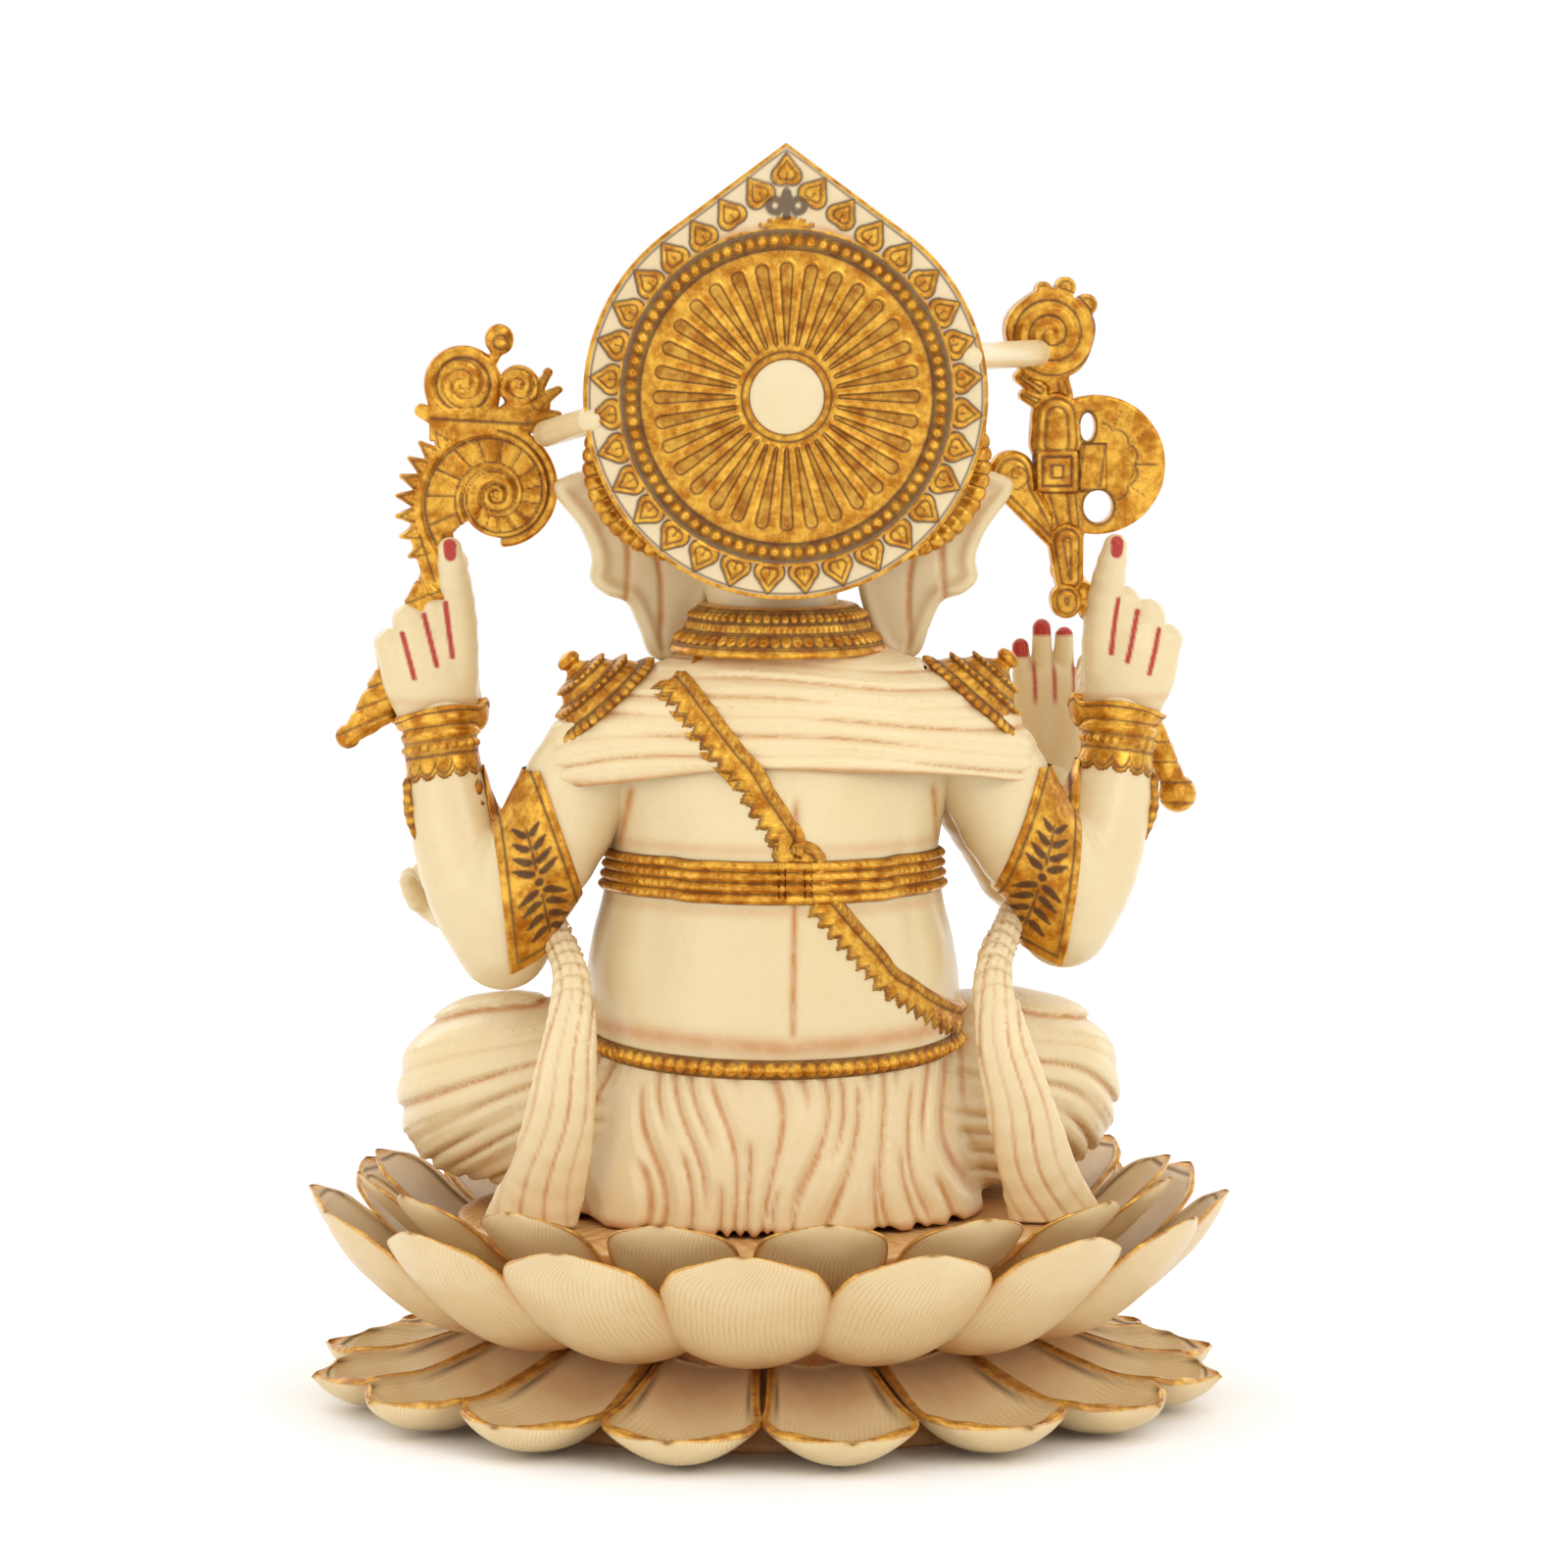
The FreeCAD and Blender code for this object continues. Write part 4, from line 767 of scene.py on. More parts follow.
def halo_face(rings, front):
    """A grid over one face of the plate, from its middle to its outline, and its paint."""
    share = np.linspace(0, 1, rings)
    angle = np.linspace(0, 2 * math.pi, SPOKES, endpoint=False)
    edge = halo_edge(angle)
    inner = np.minimum(share / 0.74, 1)[:, None] * (RING_R + 0.6)
    outer = np.clip((share - 0.74) / 0.26, 0, 1)[:, None] * (edge[None] - RING_R - 0.6)
    r = np.maximum(inner + outer, 0.02)
    turn = np.broadcast_to(angle, r.shape)
    height, gold, line, wash = halo_relief(r, turn)
    y = np.where(front, -3.0 - 0.6 * height, height)
    grid = np.stack([HALO[0] + r * np.sin(turn), HALO[1] + y, HALO[2] + r * np.cos(turn)], -1)
    return grid, {"gold": gold, "line": line, "wash": wash, "red": 0 * gold}


def make_halo():
    """One closed plate: a richly worked back, a shallower front, and a narrow band of rim between them."""
    (back, back_paint), (front, front_paint) = halo_face(150, False), halo_face(64, True)
    grid = np.concatenate([back, front[::-1]])
    paint = {key: np.concatenate([back_paint[key], front_paint[key][::-1]]).ravel() for key in back_paint}
    faces = sheet_faces(len(grid), SPOKES, wrap_columns=True)[:, ::-1].tolist()
    last = (len(grid) - 1) * SPOKES
    faces += [list(range(SPOKES)), list(range(last, last + SPOKES))[::-1]]
    add_piece("halo_skin", (grid.reshape(-1, 3), faces, paint), GILT, "halo_plate", "halo_fluted_disc",
              "halo_bead_ring", "halo_boss_ring", "halo_boss", "halo_leaf_pads", "halo_finial_relief")


# --- figure tables ------------------------------------------------------------------------------
TORSO_SHIFT, HIP_SHIFT, DRAPE_SHIFT = vec(1.5, 0, 0), vec(1.0, 0, 0), vec(4.5, 0, 0)
SEAT_TOP = 46.2
TORSO = [(84, 43.5, 42.5, 2), (92, 45, 45.5, 0), (102, 45, 47.5, -3), (112, 43.5, 47.5, -4),
         (122, 41, 46, -3), (132, 39.5, 42.5, 0), (142, 40.5, 38, 3.5), (154, 43, 32, 7), (166, 40, 26, 9),
         (176, 30, 21, 11), (186, 19, 17, 12)]
HIPS = [(46.3, 51, 46.5, 4), (56, 49.5, 46, 4), (68, 46.5, 45, 3), (80, 44.5, 44, 2), (90, 43, 43, 2)]


def torso_field(p):
    q = p + TORSO_SHIFT
    d = oval_column(q, TORSO)
    z, x = q[:, 2], q[:, 0]
    back = ramp(q[:, 1], 4, 20)
    d += back * 0.9 * bump_at(x + 1.0 + 0.02 * (z - 110), 1.0) * ramp(z, 90, 94) * ramp(-z, -151, -146)
    waist = bump_at(np.abs(x) - 30 + 0.12 * (z - 120), 3.5)
    d += back * 0.8 * waist * ramp(z, 96, 110) * ramp(-z, -150, -135)
    belly = ellipsoid(q, (0, -20, 108), (36, 33, 27))
    return smin(d, belly, 8)


def torso_paint(points):
    x, y, z = (points + TORSO_SHIFT).T
    back = ramp(y, 4, 16)
    spine = back * bump_at(x + 1.0 + 0.02 * (z - 110), 0.75) * ramp(z, 90, 95) * ramp(-z, -151, -146)
    pit = back * bump_at(np.abs(x) - 37.5 + 0.16 * (z - 140), 0.9) * ramp(z, 134, 137) * ramp(-z, -152, -149)
    under = 0.7 * bump_at(z - 90.5 - 0.06 * np.abs(x), 2.2)
    under += 0.4 * bump_at(z - 137, 1.4) + 0.35 * bump_at(z - 122.5, 1.4)
    navel = bump_at(np.hypot(x, z - 100), 2.4) * ramp(-y, 10, 30)
    return paint_of(points, wash=strongest(0.95 * spine, 0.9 * pit, under, 0.9 * navel))


def back_folds(p):
    """Pleats of the seat: short tucks under the waist chain, opening into long folds that curve outwards."""
    x, z = p[:, 0], p[:, 2]
    drop = np.clip((88 - z) / 42, 0, 1.2)
    fan = (x + 1) / (1 + 0.45 * drop) + (x + 1) / (5 + np.abs(x + 1)) * 6.5 * drop ** 1.8
    sway = 0.34 * np.sin(z * 0.11 + x * 0.07) + 0.24 * np.sin(z * 0.06 - x * 0.14 + 2)
    cut, strength = 1.0 + 0 * x, 0 * x
    for pitch, phase, low, high in ((8.4, 0.0, 0.0, 1.15), (8.4, 0.47, -0.1, 0.42), (7.2, 0.2, 0.55, 1.4)):
        u = fan / pitch + sway + phase
        this = zigzag(u)
        which = np.floor(u)
        start = low + 0.14 * np.sin(which * 2.7 + phase * 9)
        stop = high + 0.22 * np.sin(which * 1.9 + 1 + phase * 5)
        here = ramp(drop, start, start + 0.14) * (1 - ramp(drop, stop - 0.25, stop))
        better = (1 - ramp(this, 0, 0.5)) * here > (1 - ramp(cut, 0, 0.5)) * strength
        cut, strength = np.where(better, this, cut), np.where(better, here, strength)
    return cut, strength


def leg_folds(p, side):
    """Creases that sweep round the knee and thigh, bunching towards the hip."""
    x, y, z = p.T
    away = np.hypot(x * side - 36, (z - 40) * 1.25)
    u = away / 5.8 + 0.3 * np.sin(y * 0.1) + 0.35 * np.sin(x * 0.11 + z * 0.09)
    cut = zigzag(u)
    fade = 0.5 + 0.5 * np.sin(np.floor(u) * 2.2 + z * 0.07 + y * 0.05)
    return cut, 0.25 + 0.75 * ramp(fade, 0.15, 0.6)


def hip_field(p):
    d = oval_column(p + HIP_SHIFT, HIPS)
    cut, strength = back_folds(p)
    return d + strength * (1.35 * (1 - ramp(cut, 0, 0.55)) - 0.5 * ramp(cut, 0.25, 1)) * ramp(p[:, 1], -8, 12)


def leg_field(p, side):
    """A thigh that reaches out and a shin that folds back across the lap."""
    q = p * vec(side, 1, 1)
    lap, low = (-58, 62) if side == LEFT else (-66, 58)
    thigh = limb(q, [(10, 6, 66), (34, 0, 70), (52, -12, 73), (66, -20, 74), (71, -24, 73)],
                 [19, 22.5, 24, 22, 15], count=12)
    shin = limb(q, [(72, -26, 66), (56, -42, 63), (36, lap + 4, low), (20, lap - 2, low - 3)],
                [14, 15.5, 12.5, 9.5], count=10)
    d = smin(thigh, shin, 6)
    cut, strength = leg_folds(p, side)
    d = d + strength * (1.15 * (1 - ramp(cut, 0, 0.5)) - 0.45 * ramp(cut, 0.25, 1))
    return smax(d, SEAT_TOP - p[:, 2], 1.0)


def lower_field(p):
    d = hip_field(p)
    for side in (LEFT, RIGHT):
        d = smin(d, leg_field(p, side), 3.0)
    return smax(d, SEAT_TOP - p[:, 2], 0.6)


def lower_paint(points):
    """Tan wash in the pleats of the seat and legs, and along the hem."""
    cut, strength = back_folds(points)
    back = ramp(points[:, 1], -8, 12) * ramp(-np.abs(points[:, 0]), -52, -44)
    wash = back * strength * (1 - ramp(cut, 0.02, 0.22))
    for side in (LEFT, RIGHT):
        mine = ramp(points[:, 0] * side, 0, 4) * (1 - back)
        cut, strength = leg_folds(points, side)
        wash = np.maximum(wash, mine * strength * (1 - ramp(cut, 0.02, 0.24)))
    wash = np.maximum(0.85 * wash, 0.8 * ramp(-points[:, 2], -50, -46.5))
    return paint_of(points, wash=np.maximum(wash, 0.6 * bump_at(points[:, 2] - 87.5, 2.0) * back))


def feet_field(p):
    """Two flat feet with five toes each, in front of the crossed shins."""
    left = [(22, -60, 59), (4, -64, 56), (-10, -65.5, 53), (-18, -66, 52)]
    right = [(-19, -68, 55), (-8, -74, 52.5), (6, -76, 51.5), (13, -76.5, 50.8)]
    out = None
    for side, line, radii in ((LEFT, left, [7, 7, 6.4, 5]), (RIGHT, right, [6, 5.6, 5.2, 4.2])):
        d = limb(p, line, radii, squash=((0, 0, 1), 0.8))
        end = line[-1]
        for n in range(5):
            a = (end[0] - side * 1.0, end[1] - 4.4 + 2.1 * n, end[2] + 0.9 - 0.3 * n)
            b = (end[0] - side * (6.5 - 0.9 * n), end[1] - 5.0 + 2.3 * n, end[2] - 0.5)
            d = smin(d, bar(p, a, b, 1.6 - 0.12 * n, 1.25 - 0.1 * n), 0.7)
        out = d if out is None else smin(out, d, 0.5)
    return smax(out, SEAT_TOP + 0.1 - p[:, 2], 0.3)


def make_body():
    sculpt("torso_skin", torso_field, ((-50, -58, 82), (50, 50, 188)), 0.9, SKIN, paint=torso_paint)
    sculpt("dhoti_skin", lower_field, ((-92, -84, 45), (92, 54, 104)), 0.85, DHOTI,
           "dhoti_hips", "left_leg", "right_leg", paint=lower_paint)
    sculpt("feet_skin", feet_field, ((-30, -86, 45), (32, -50, 68)), 0.6, SKIN, "left_foot", "right_foot",
           paint=lambda q: paint_of(q, wash=0.25))


# --- shawl --------------------------------------------------------------------------------------
DRAPE = [(146, 59, 31, 10), (152, 59.5, 31.5, 10), (158, 59.3, 30.8, 10), (165, 56, 28, 11),
         (172, 48, 25.5, 12), (178, 35, 22, 12.5), (183.6, 21.5, 16.5, 12.5)]


def shawl_folds(p):
    """Long soft folds across the back, some dying out and some running together towards the shoulders."""
    x, z = p[:, 0] + 4.5, p[:, 2]
    arch = 0.0021 * x ** 2 * ramp(-z, -172, -156)
    bend = 1.5 * np.sin(x * 0.045 + 0.9 + z * 0.05) + 0.5 * np.sin(x * 0.1 - z * 0.12)
    u = (z + arch + bend - 150) / 3.9
    cut = zigzag(u)
    fade = 0.5 + 0.5 * np.sin(np.floor(u) * 2.4 + x * 0.06 + 0.4)
    return cut, 0.25 + 0.75 * ramp(fade, 0.12, 0.6)


def shawl_field(p):
    q = p + DRAPE_SHIFT
    d = oval_column(q, DRAPE)
    cut, strength = shawl_folds(p)
    d = d + strength * (0.85 * (1 - ramp(cut, 0, 0.5)) - 0.5 * ramp(cut, 0.2, 1))
    hem = 155.5 - 0.0017 * q[:, 0] ** 2 + 0.5 * np.sin(q[:, 0] * 0.11) - p[:, 2]
    d = smax(d, hem, 3.0)
    hollow = oval_column(q, [(z - 1, a - 2.6, b - 2.6, y) for z, a, b, y in DRAPE])
    return smax(smax(d, -smax(hollow, -0.5, 0.5), 0.5), shawl_front(p), 1.0)


def shawl_front(p):
    """The slanted plane where the shawl's front edges end."""
    return -9 - 0.25 * (p[:, 2] - 150) - p[:, 1]


def shawl_paint(points):
    cut, strength = shawl_folds(points)
    wash = strength * (1 - ramp(cut, 0.02, 0.26))
    hem = points[:, 2] - 155.5 + 0.0017 * (points[:, 0] + 4.5) ** 2
    return paint_of(points, wash=np.maximum(0.8 * wash, 0.7 * (1 - ramp(hem, 0.2, 1.4))))


def make_shawl():
    sculpt("shawl_skin", shawl_field, ((-68, -12, 146), (60, 46, 188)), 0.7, CLOTH, paint=shawl_paint)
    make_tail("left_shawl_tail", [(55, 2, 122), (51, 9, 113), (48.5, 20, 105), (49, 28, 94),
                                  (51, 31, 80), (54, 31, 62), (59, 28, 47)])
    make_tail("right_shawl_tail", [(-61, 2, 122), (-57, 9, 114), (-52.5, 20, 106), (-53, 28, 94),
                                   (-56, 31, 80), (-61, 31, 62), (-67, 28, 46)])


def make_tail(name, line):
    """A flattened tail of the shawl that hangs behind the elbow, widens and lies on the seat."""
    radii = [3, 4, 4.6, 6.0, 7.6, 9.2, 10.8]
    centre = spline(np.column_stack([line, radii]), 40)[::-1]

    def folds(p):
        x = np.interp(p[:, 2], centre[:, 2], centre[:, 0])
        wide = np.interp(p[:, 2], centre[:, 2], centre[:, 3])
        u = (p[:, 0] - x) / wide * 1.9 + 0.35 * np.sin(p[:, 2] * 0.07) + 0.2 * np.sin(p[:, 2] * 0.19)
        return zigzag(u), 0.7 + 0.3 * np.sin(np.floor(u) * 2.0 + p[:, 2] * 0.05)

    def field(p):
        cut, strength = folds(p)
        d = limb(p, line, radii, squash=((0, 1, 0.1), 0.42))
        return smax(d + strength * 0.9 * (1 - ramp(cut, 0, 0.4)), SEAT_TOP + 0.4 - p[:, 2], 0.5)

    def paint(points):
        cut, strength = folds(points)
        return paint_of(points, wash=0.85 * strength * (1 - ramp(cut, 0.03, 0.34)))

    box = centre[:, :3].min(0) - 16, centre[:, :3].max(0) + 10
    sculpt(name + "_skin", field, box, 0.7, CLOTH, paint=paint)


# --- arms and hands -----------------------------------------------------------------------------
LEAN = -4.0


def own(p, side):
    """Points in the mirrored frame of one side of the upper figure."""
    return (p - vec(LEAN, 0, 0)) * vec(side, 1, 1)


def low_of(side):
    return 111 if side == LEFT else 115


def rear_arm_field(p, side):
    q, low = own(p, side), low_of(side)
    upper = limb(q, [(38, 9, 164), (47, 10, 155), (56, 9, 138), (65, 6, low + 12), (67.5, 3, low + 2)],
                 [11, 13, 12.8, 12, 10.8], count=10)
    lower = limb(q, [(68, 2, low), (74, -1, low + 12), (79, -5, low + 27), (82, -8, 156), (82.4, -8.5, 166)],
                 [10.8, 11.6, 10.6, 8.2, 7.6], count=12)
    return smin(upper, lower, 3.0)


def raised_hand_field(p, side):
    """A rear hand: palm, three folded fingers, raised finger and thumb."""
    q = own(p, side)
    d = limb(q, [(82.4, -8.5, 164), (83.6, -9, 170), (85.2, -9, 177), (86, -9, 182)], [7.8, 10.2, 11.4, 9.0],
             squash=((0, 1, 0), 0.72), count=8)
    for base, knuckle, r in (((80.4, -7, 177), (83.2, -8, 191.6), 4.3),
                             ((86, -7, 175), (89.2, -8, 188.4), 4.2),
                             ((91, -7.4, 172), (94, -8.6, 182.6), 3.8)):
        b, k = vec(*base), vec(*knuckle)
        d = smin(d, bar(q, b, k, r + 0.2, r), 1.0)
        fold = k + vec(0.5, -9, -0.5)
        d = smin(d, bar(q, k, fold, r, r - 0.4), 0.6)
        d = smin(d, bar(q, fold, fold + vec(-0.8, 1.5, -9.5), r - 0.4, r - 0.9), 0.6)
    finger = limb(q, [(78, -7.4, 176), (77.8, -6.4, 188), (79, -2.8, 198), (80.2, 0.2, 206)],
                  [4.9, 4.3, 3.9, 2.9], count=7)
    thumb = limb(q, [(77, -11, 166), (77.5, -17, 174), (82, -20, 182)], [5, 4.3, 3.4], count=6)
    return smin(smin(d, finger, 1.0), thumb, 1.4)


def hand_paint(points, side):
    q = own(points, side)
    nail = bar(q, (80.2, 3.2, 204.6), (80.3, 2.6, 207.2), 1.5)
    red = ramp(-nail, -0.3, 0.1)
    for a, b in (((79.6, 0, 180), (81.2, 0, 193)), ((83.4, 0, 178), (86.3, 0, 190)),
                 ((88.8, 0, 175), (91.5, 0, 185.5))):
        gap = bar(q * vec(1, 0, 1), a, b, 0.35)
        red = np.maximum(red, ramp(-gap, -0.55, -0.05) * ramp(q[:, 1], -11, -7))
    return paint_of(points, red=red, wash=0.35 * bump_at(q[:, 2] - 169, 1.2))


def front_arm_field(p, side):
    """The left front arm reaches ahead to the bowl, and the right one is bent up to the open hand."""
    if side == LEFT:
        lower = [(56, -24, 132), (62, -32, 119), (65, -40, 114.5), (68, -46, 113)]
        radii = [10, 11.5, 11, 10.4, 8.8, 6.4]
    else:
        lower = [(56, -24, 134), (62, -31, 124), (66.5, -35, 130), (69, -40, 145)]
        radii = [10, 11.5, 11, 10.2, 9.0, 6.6]
    return limb(own(p, side), [(38, -10, 160), (47, -16, 148)] + lower, radii, count=16)


def open_hand_field(p):
    q = own(p, RIGHT)
    d = limb(q, [(69, -40, 145), (70, -41, 152), (70.5, -42, 160), (70.5, -42, 166)], [6.6, 9.2, 10.2, 9.2],
             squash=((0, 1, 0), 0.55), count=8)
    for x, tip, r in ((-7.2, 175, 2.6), (-2.5, 181.6, 2.8), (2.4, 183.6, 2.8), (7.0, 179, 2.6)):
        side = 70.5 - x
        d = smin(d, bar(q, (side, -42, 163), (70.5 - 1.15 * x, -42.6, tip), r + 0.3, r - 0.5), 0.8)
    thumb = limb(q, [(64, -42, 153), (60, -43.5, 160), (58.2, -45, 166)], [3.8, 3.1, 2.5], count=6)
    return smin(d, thumb, 1.2)


def open_hand_paint(points):
    x, y, z = own(points, RIGHT).T
    red = np.zeros(len(x))
    for line in (65.6, 70.4, 75.4):
        red = np.maximum(red, bump_at(x - line, 0.55) * ramp(z, 164, 167) * ramp(-z, -177, -173))
    nails = ramp(z, 181.4, 182.2) + ramp(np.abs(x - 70.5), 6.0, 6.4) * ramp(z, 176.0, 176.8)
    return paint_of(points, red=np.maximum(red, np.clip(nails, 0, 1) * ramp(y, -42.4, -41.6)))


def cupped_hand_field(p):
    q = own(p, LEFT)
    d = limb(q, [(67, -45, 113), (72, -52, 112.6), (75, -60, 112.8), (77, -66, 113.4)], [6.6, 9.6, 10.8, 8.5],
             squash=((0, 0, 1), 0.5), count=8)
    for x, y in ((5, 4.5), (4.5, -0.2), (2.5, -4.4), (-1.2, -6.6)):
        a, b = vec(76 + x, -62 + y, 113), vec(81.5 + 1.5 * x, -64 + 2.6 * y, 121)
        d = smin(d, limb(q, [a, 0.45 * a + 0.55 * b + vec(0.8, 0, -1.4), b], [3.3, 3.0, 2.2], count=5), 0.8)
    thumb = limb(q, [(66, -57, 113.5), (61, -61, 115.5), (58, -64, 120.5)], [3.8, 3.2, 2.5], count=5)
    return smin(d, thumb, 1.2)


def armlet_region(q):
    """Signed distance to the slanted band on the upper arm, and coordinates along and across it."""
    def beyond(a, b):
        way = unit(b - a)
        return (q - a) @ vec(way[2], 0, -way[0])

    top, low = vec(57.3, 0, 147), vec(45.8, 0, 115)
    inner, outer = beyond(top, low), beyond(vec(66.3, 0, 102), vec(70.5, 0, 138))
    hem = beyond(vec(45.8, 0, 115.6), vec(65.3, 0, 105.4))
    across = inner / np.minimum(inner + outer, -1e-3)
    return strongest(inner, outer, hem), (q - low) @ unit(top - low), across


def leaf_scroll(along, across, width):
    """Painted foliage: sprays of curved leaflets on both sides of a stem, as ink strength."""
    u = (across - 0.5) * width
    v = along - 17
    ink = bump_at(u, 0.35) * ramp(np.abs(v), 2.5, 3.5) * ramp(-np.abs(v), -14, -12)
    ink = np.maximum(ink, ramp(-np.hypot(u, v), -1.3, -0.8))
    for level in (-11.5, -8.2, -5.0, -2.2, 2.2, 5.0, 8.2, 11.5):
        way = 1.0 if level > 0 else -1.0
        reach = 5.2 - 0.16 * abs(level)
        for flip in (1.0, -1.0):
            t = np.clip(flip * u / reach, 0, 1)
            line = level + way * (2.6 * t ** 1.6 - 0.6 * t)
            thick = 0.22 + 0.62 * np.sin(math.pi * np.clip(t, 0.02, 0.98)) ** 0.8
            gap = np.hypot((v - line) * 0.85, np.maximum(flip * u - reach, 0) + np.maximum(0.8 - flip * u, 0))
            ink = np.maximum(ink, ramp(-(gap - thick), -0.25, 0.15))
    return ink


def armlet_field(p, side):
    arm = rear_arm_field(p, side)
    return smax(smax(arm - 1.0, -arm - 1.2, 0.2), armlet_region(own(p, side))[0], 0.5)


def armlet_paint(points, side):
    gap, along, across = armlet_region(own(points, side))
    scroll = 0.95 * leaf_scroll(along, across, 16.0) * ramp(-gap, 2.4, 2.9)
    return paint_of(points, gold=1.0, line=np.maximum(0.9 * bump_at(gap + 2.0, 0.35), scroll))


def rear_arm_paint(points, side):
    q, low = own(points, side), low_of(side)
    pit = 0.8 * bump_at(bar(q * vec(1, 0, 1), (64, 0, low + 12), (67, 0, low + 26), 0.4), 0.7)
    return paint_of(points, wash=pit * ramp(q[:, 1], 0, 6))


def make_arms():
    """The four arms and hands, and the bands on the two rear arms."""
    for side, name in SIDES:
        arm_box = beside(side, 26, 96, (-20, 96), (26, 178))
        sculpt(f"rear_{name}_arm_skin", partial(rear_arm_field, side=side), arm_box, 0.8, SKIN,
               paint=partial(rear_arm_paint, side=side))
        sculpt(f"rear_{name}_hand_skin", partial(raised_hand_field, side=side),
               beside(side, 70, 101, (-26, 158), (5, 212)), 0.5, SKIN, paint=partial(hand_paint, side=side))
        sculpt(f"rear_{name}_armband_skin", partial(armlet_field, side=side),
               beside(side, 40, 84, (-12, 98), (26, 152)), 0.42, GILT, paint=partial(armlet_paint, side=side))
        sculpt(f"front_{name}_arm_skin", partial(front_arm_field, side=side),
               beside(side, 26, 80, (-54, 104), (2, 172)), 0.9, SKIN)
    sculpt("front_right_hand_skin", open_hand_field, ((-90, -52, 138), (-56, -34, 188)), 0.5, SKIN,
           paint=open_hand_paint)
    sculpt("front_left_hand_skin", cupped_hand_field, ((50, -86, 104), (94, -38, 126)), 0.55, SKIN)


# --- straps laid on a surface -------------------------------------------------------------------
def settle(points, field, rounds=4):
    """Moves points onto the zero surface of a field; gives the points and the surface normals."""
    for _ in range(rounds):
        value, slope = gradient(field, points, 0.4)
        points = points - value[:, None] * slope
    return points, slope


def strap(path, half, field, relief, columns, closed=True, sink=0.5):
    """A worked band laid along a path on a field: relief(along, across, total) gives height and paint."""
    path, normal = settle(path, field)
    ahead = (np.roll(path, -1, 0) - np.roll(path, 1, 0)) if closed else np.gradient(path, axis=0)
    side = unit(np.cross(normal, unit(ahead)))
    step = np.linalg.norm(np.roll(path, -1, 0) - path, axis=1)
    along = np.concatenate([[0], np.cumsum(step[:-1])])
    across = np.linspace(-half, half, columns)
    grid = path[:, None] + side[:, None] * across[None, :, None]
    flat, slope = settle(grid.reshape(-1, 3), field, 3)
    total = along[-1] + (step[-1] if closed else 0)
    a, c = np.broadcast_to(along[:, None], grid.shape[:2]).ravel(), np.tile(across, len(path))
    height, paint = relief(a, c, total)
    outer = (flat + slope * height[:, None]).reshape(grid.shape)
    inner = (flat - slope * sink).reshape(grid.shape)
    points, faces = slab_mesh(outer, inner, wrap=closed)
    layers = paint_of(points)
    for key, values in paint.items():
        layers[key] = np.concatenate([values, values])
    return points, faces, layers


def hem_down(path, half, field, relief, columns):
    """A strap whose lace hem hangs down, whichever way round its path runs."""
    skin = strap(path, half, field, relief, columns)
    if skin[0][columns - 1, 2] < skin[0][0, 2]:
        skin = strap(path[::-1], half, field, relief, columns)
    return skin


def even(path, step, closed=True):
    """Resamples a path at an even step."""
    if closed:
        path = np.vstack([path, path[:1]])
    walk = walked(path)
    count = max(8, int(walk[-1] / step))
    at = np.linspace(0, walk[-1], count, endpoint=not closed)
    return np.column_stack([np.interp(at, walk, path[:, k]) for k in range(3)])


def loop(centre, axis, radius, field, step=0.5):
    """A closed path round a limb, square to axis."""
    axis = unit(vec(*axis))
    u = unit(np.cross(axis, vec(0, 1, 0)))
    w = np.cross(axis, u)
    turn = np.linspace(0, 2 * math.pi, 200, endpoint=False)
    path = vec(*centre) + radius * (np.cos(turn)[:, None] * u + np.sin(turn)[:, None] * w)
    for _ in range(4):
        value, slope = gradient(field, path, 0.4)
        slope = slope - np.outer(slope @ axis, axis)
        path = path - value[:, None] * slope
    return even(path, step)


def beads(along, across, total, pitch, radius, line=0.0):
    """Height and ink of a row of round beads along a strap."""
    pitch = total / max(1, round(total / pitch))
    near = (along % pitch) - pitch / 2
    gap = np.hypot(near, across - line)
    return np.sqrt(np.clip(radius ** 2 - gap ** 2, 0, None)), ramp(gap, radius * 0.82, radius * 1.15)


def belt_relief(along, across, total):
    u = (across + 5.1) / 10.2 * 4
    ridge = np.abs(np.sin(u * math.pi))
    height = 0.55 + 1.15 * ridge ** 0.7 + 0.12 * np.sin(along * 2.6) * ridge
    ink = 0.9 * ramp(-ridge, -0.42, -0.12)
    return height, {"gold": 1 + 0 * u, "line": ink}


def chain_relief(along, across, total):
    height, ink = beads(along, across, total, 3.1, 1.65)
    rope = 0.5 * (np.abs(across) < 2.0)
    return height + rope + 0.3, {"gold": 1 + 0 * along, "line": 0.75 * ink}


def lace_relief(along, across, total):
    """A rope edge on one side and a zigzag lace with teeth on the other."""
    rope = bump_at(across - 3.0, 1.0)
    twist = 0.5 + 0.5 * np.sin(along * 3.4 + across * 2.2)
    zig = zigzag(along / 3.4)
    edge = across + 4.4 - 2.2 * zig
    lace = ramp(edge, -0.2, 0.3)
    cord = bump_at(across + 1.4 - 2.2 * (zig - 0.5), 0.55)
    height = 0.45 + rope * (0.75 + 0.45 * twist) + 0.55 * cord * (across < 2)
    height = np.where(lace < 0.5, -0.35, height)
    ink = np.maximum(0.85 * bump_at(across - 1.9, 0.35), 0.8 * bump_at(edge - 0.1, 0.35))
    shade = (1 - cord) * ramp(-across, -1.4, -1.0) * bump_at(across + 2.3 - 2.2 * (zig - 0.5), 0.5)
    return height, {"gold": 1 + 0 * along, "line": strongest(ink, 0.75 * shade, 0.5 * rope * (1 - twist))}


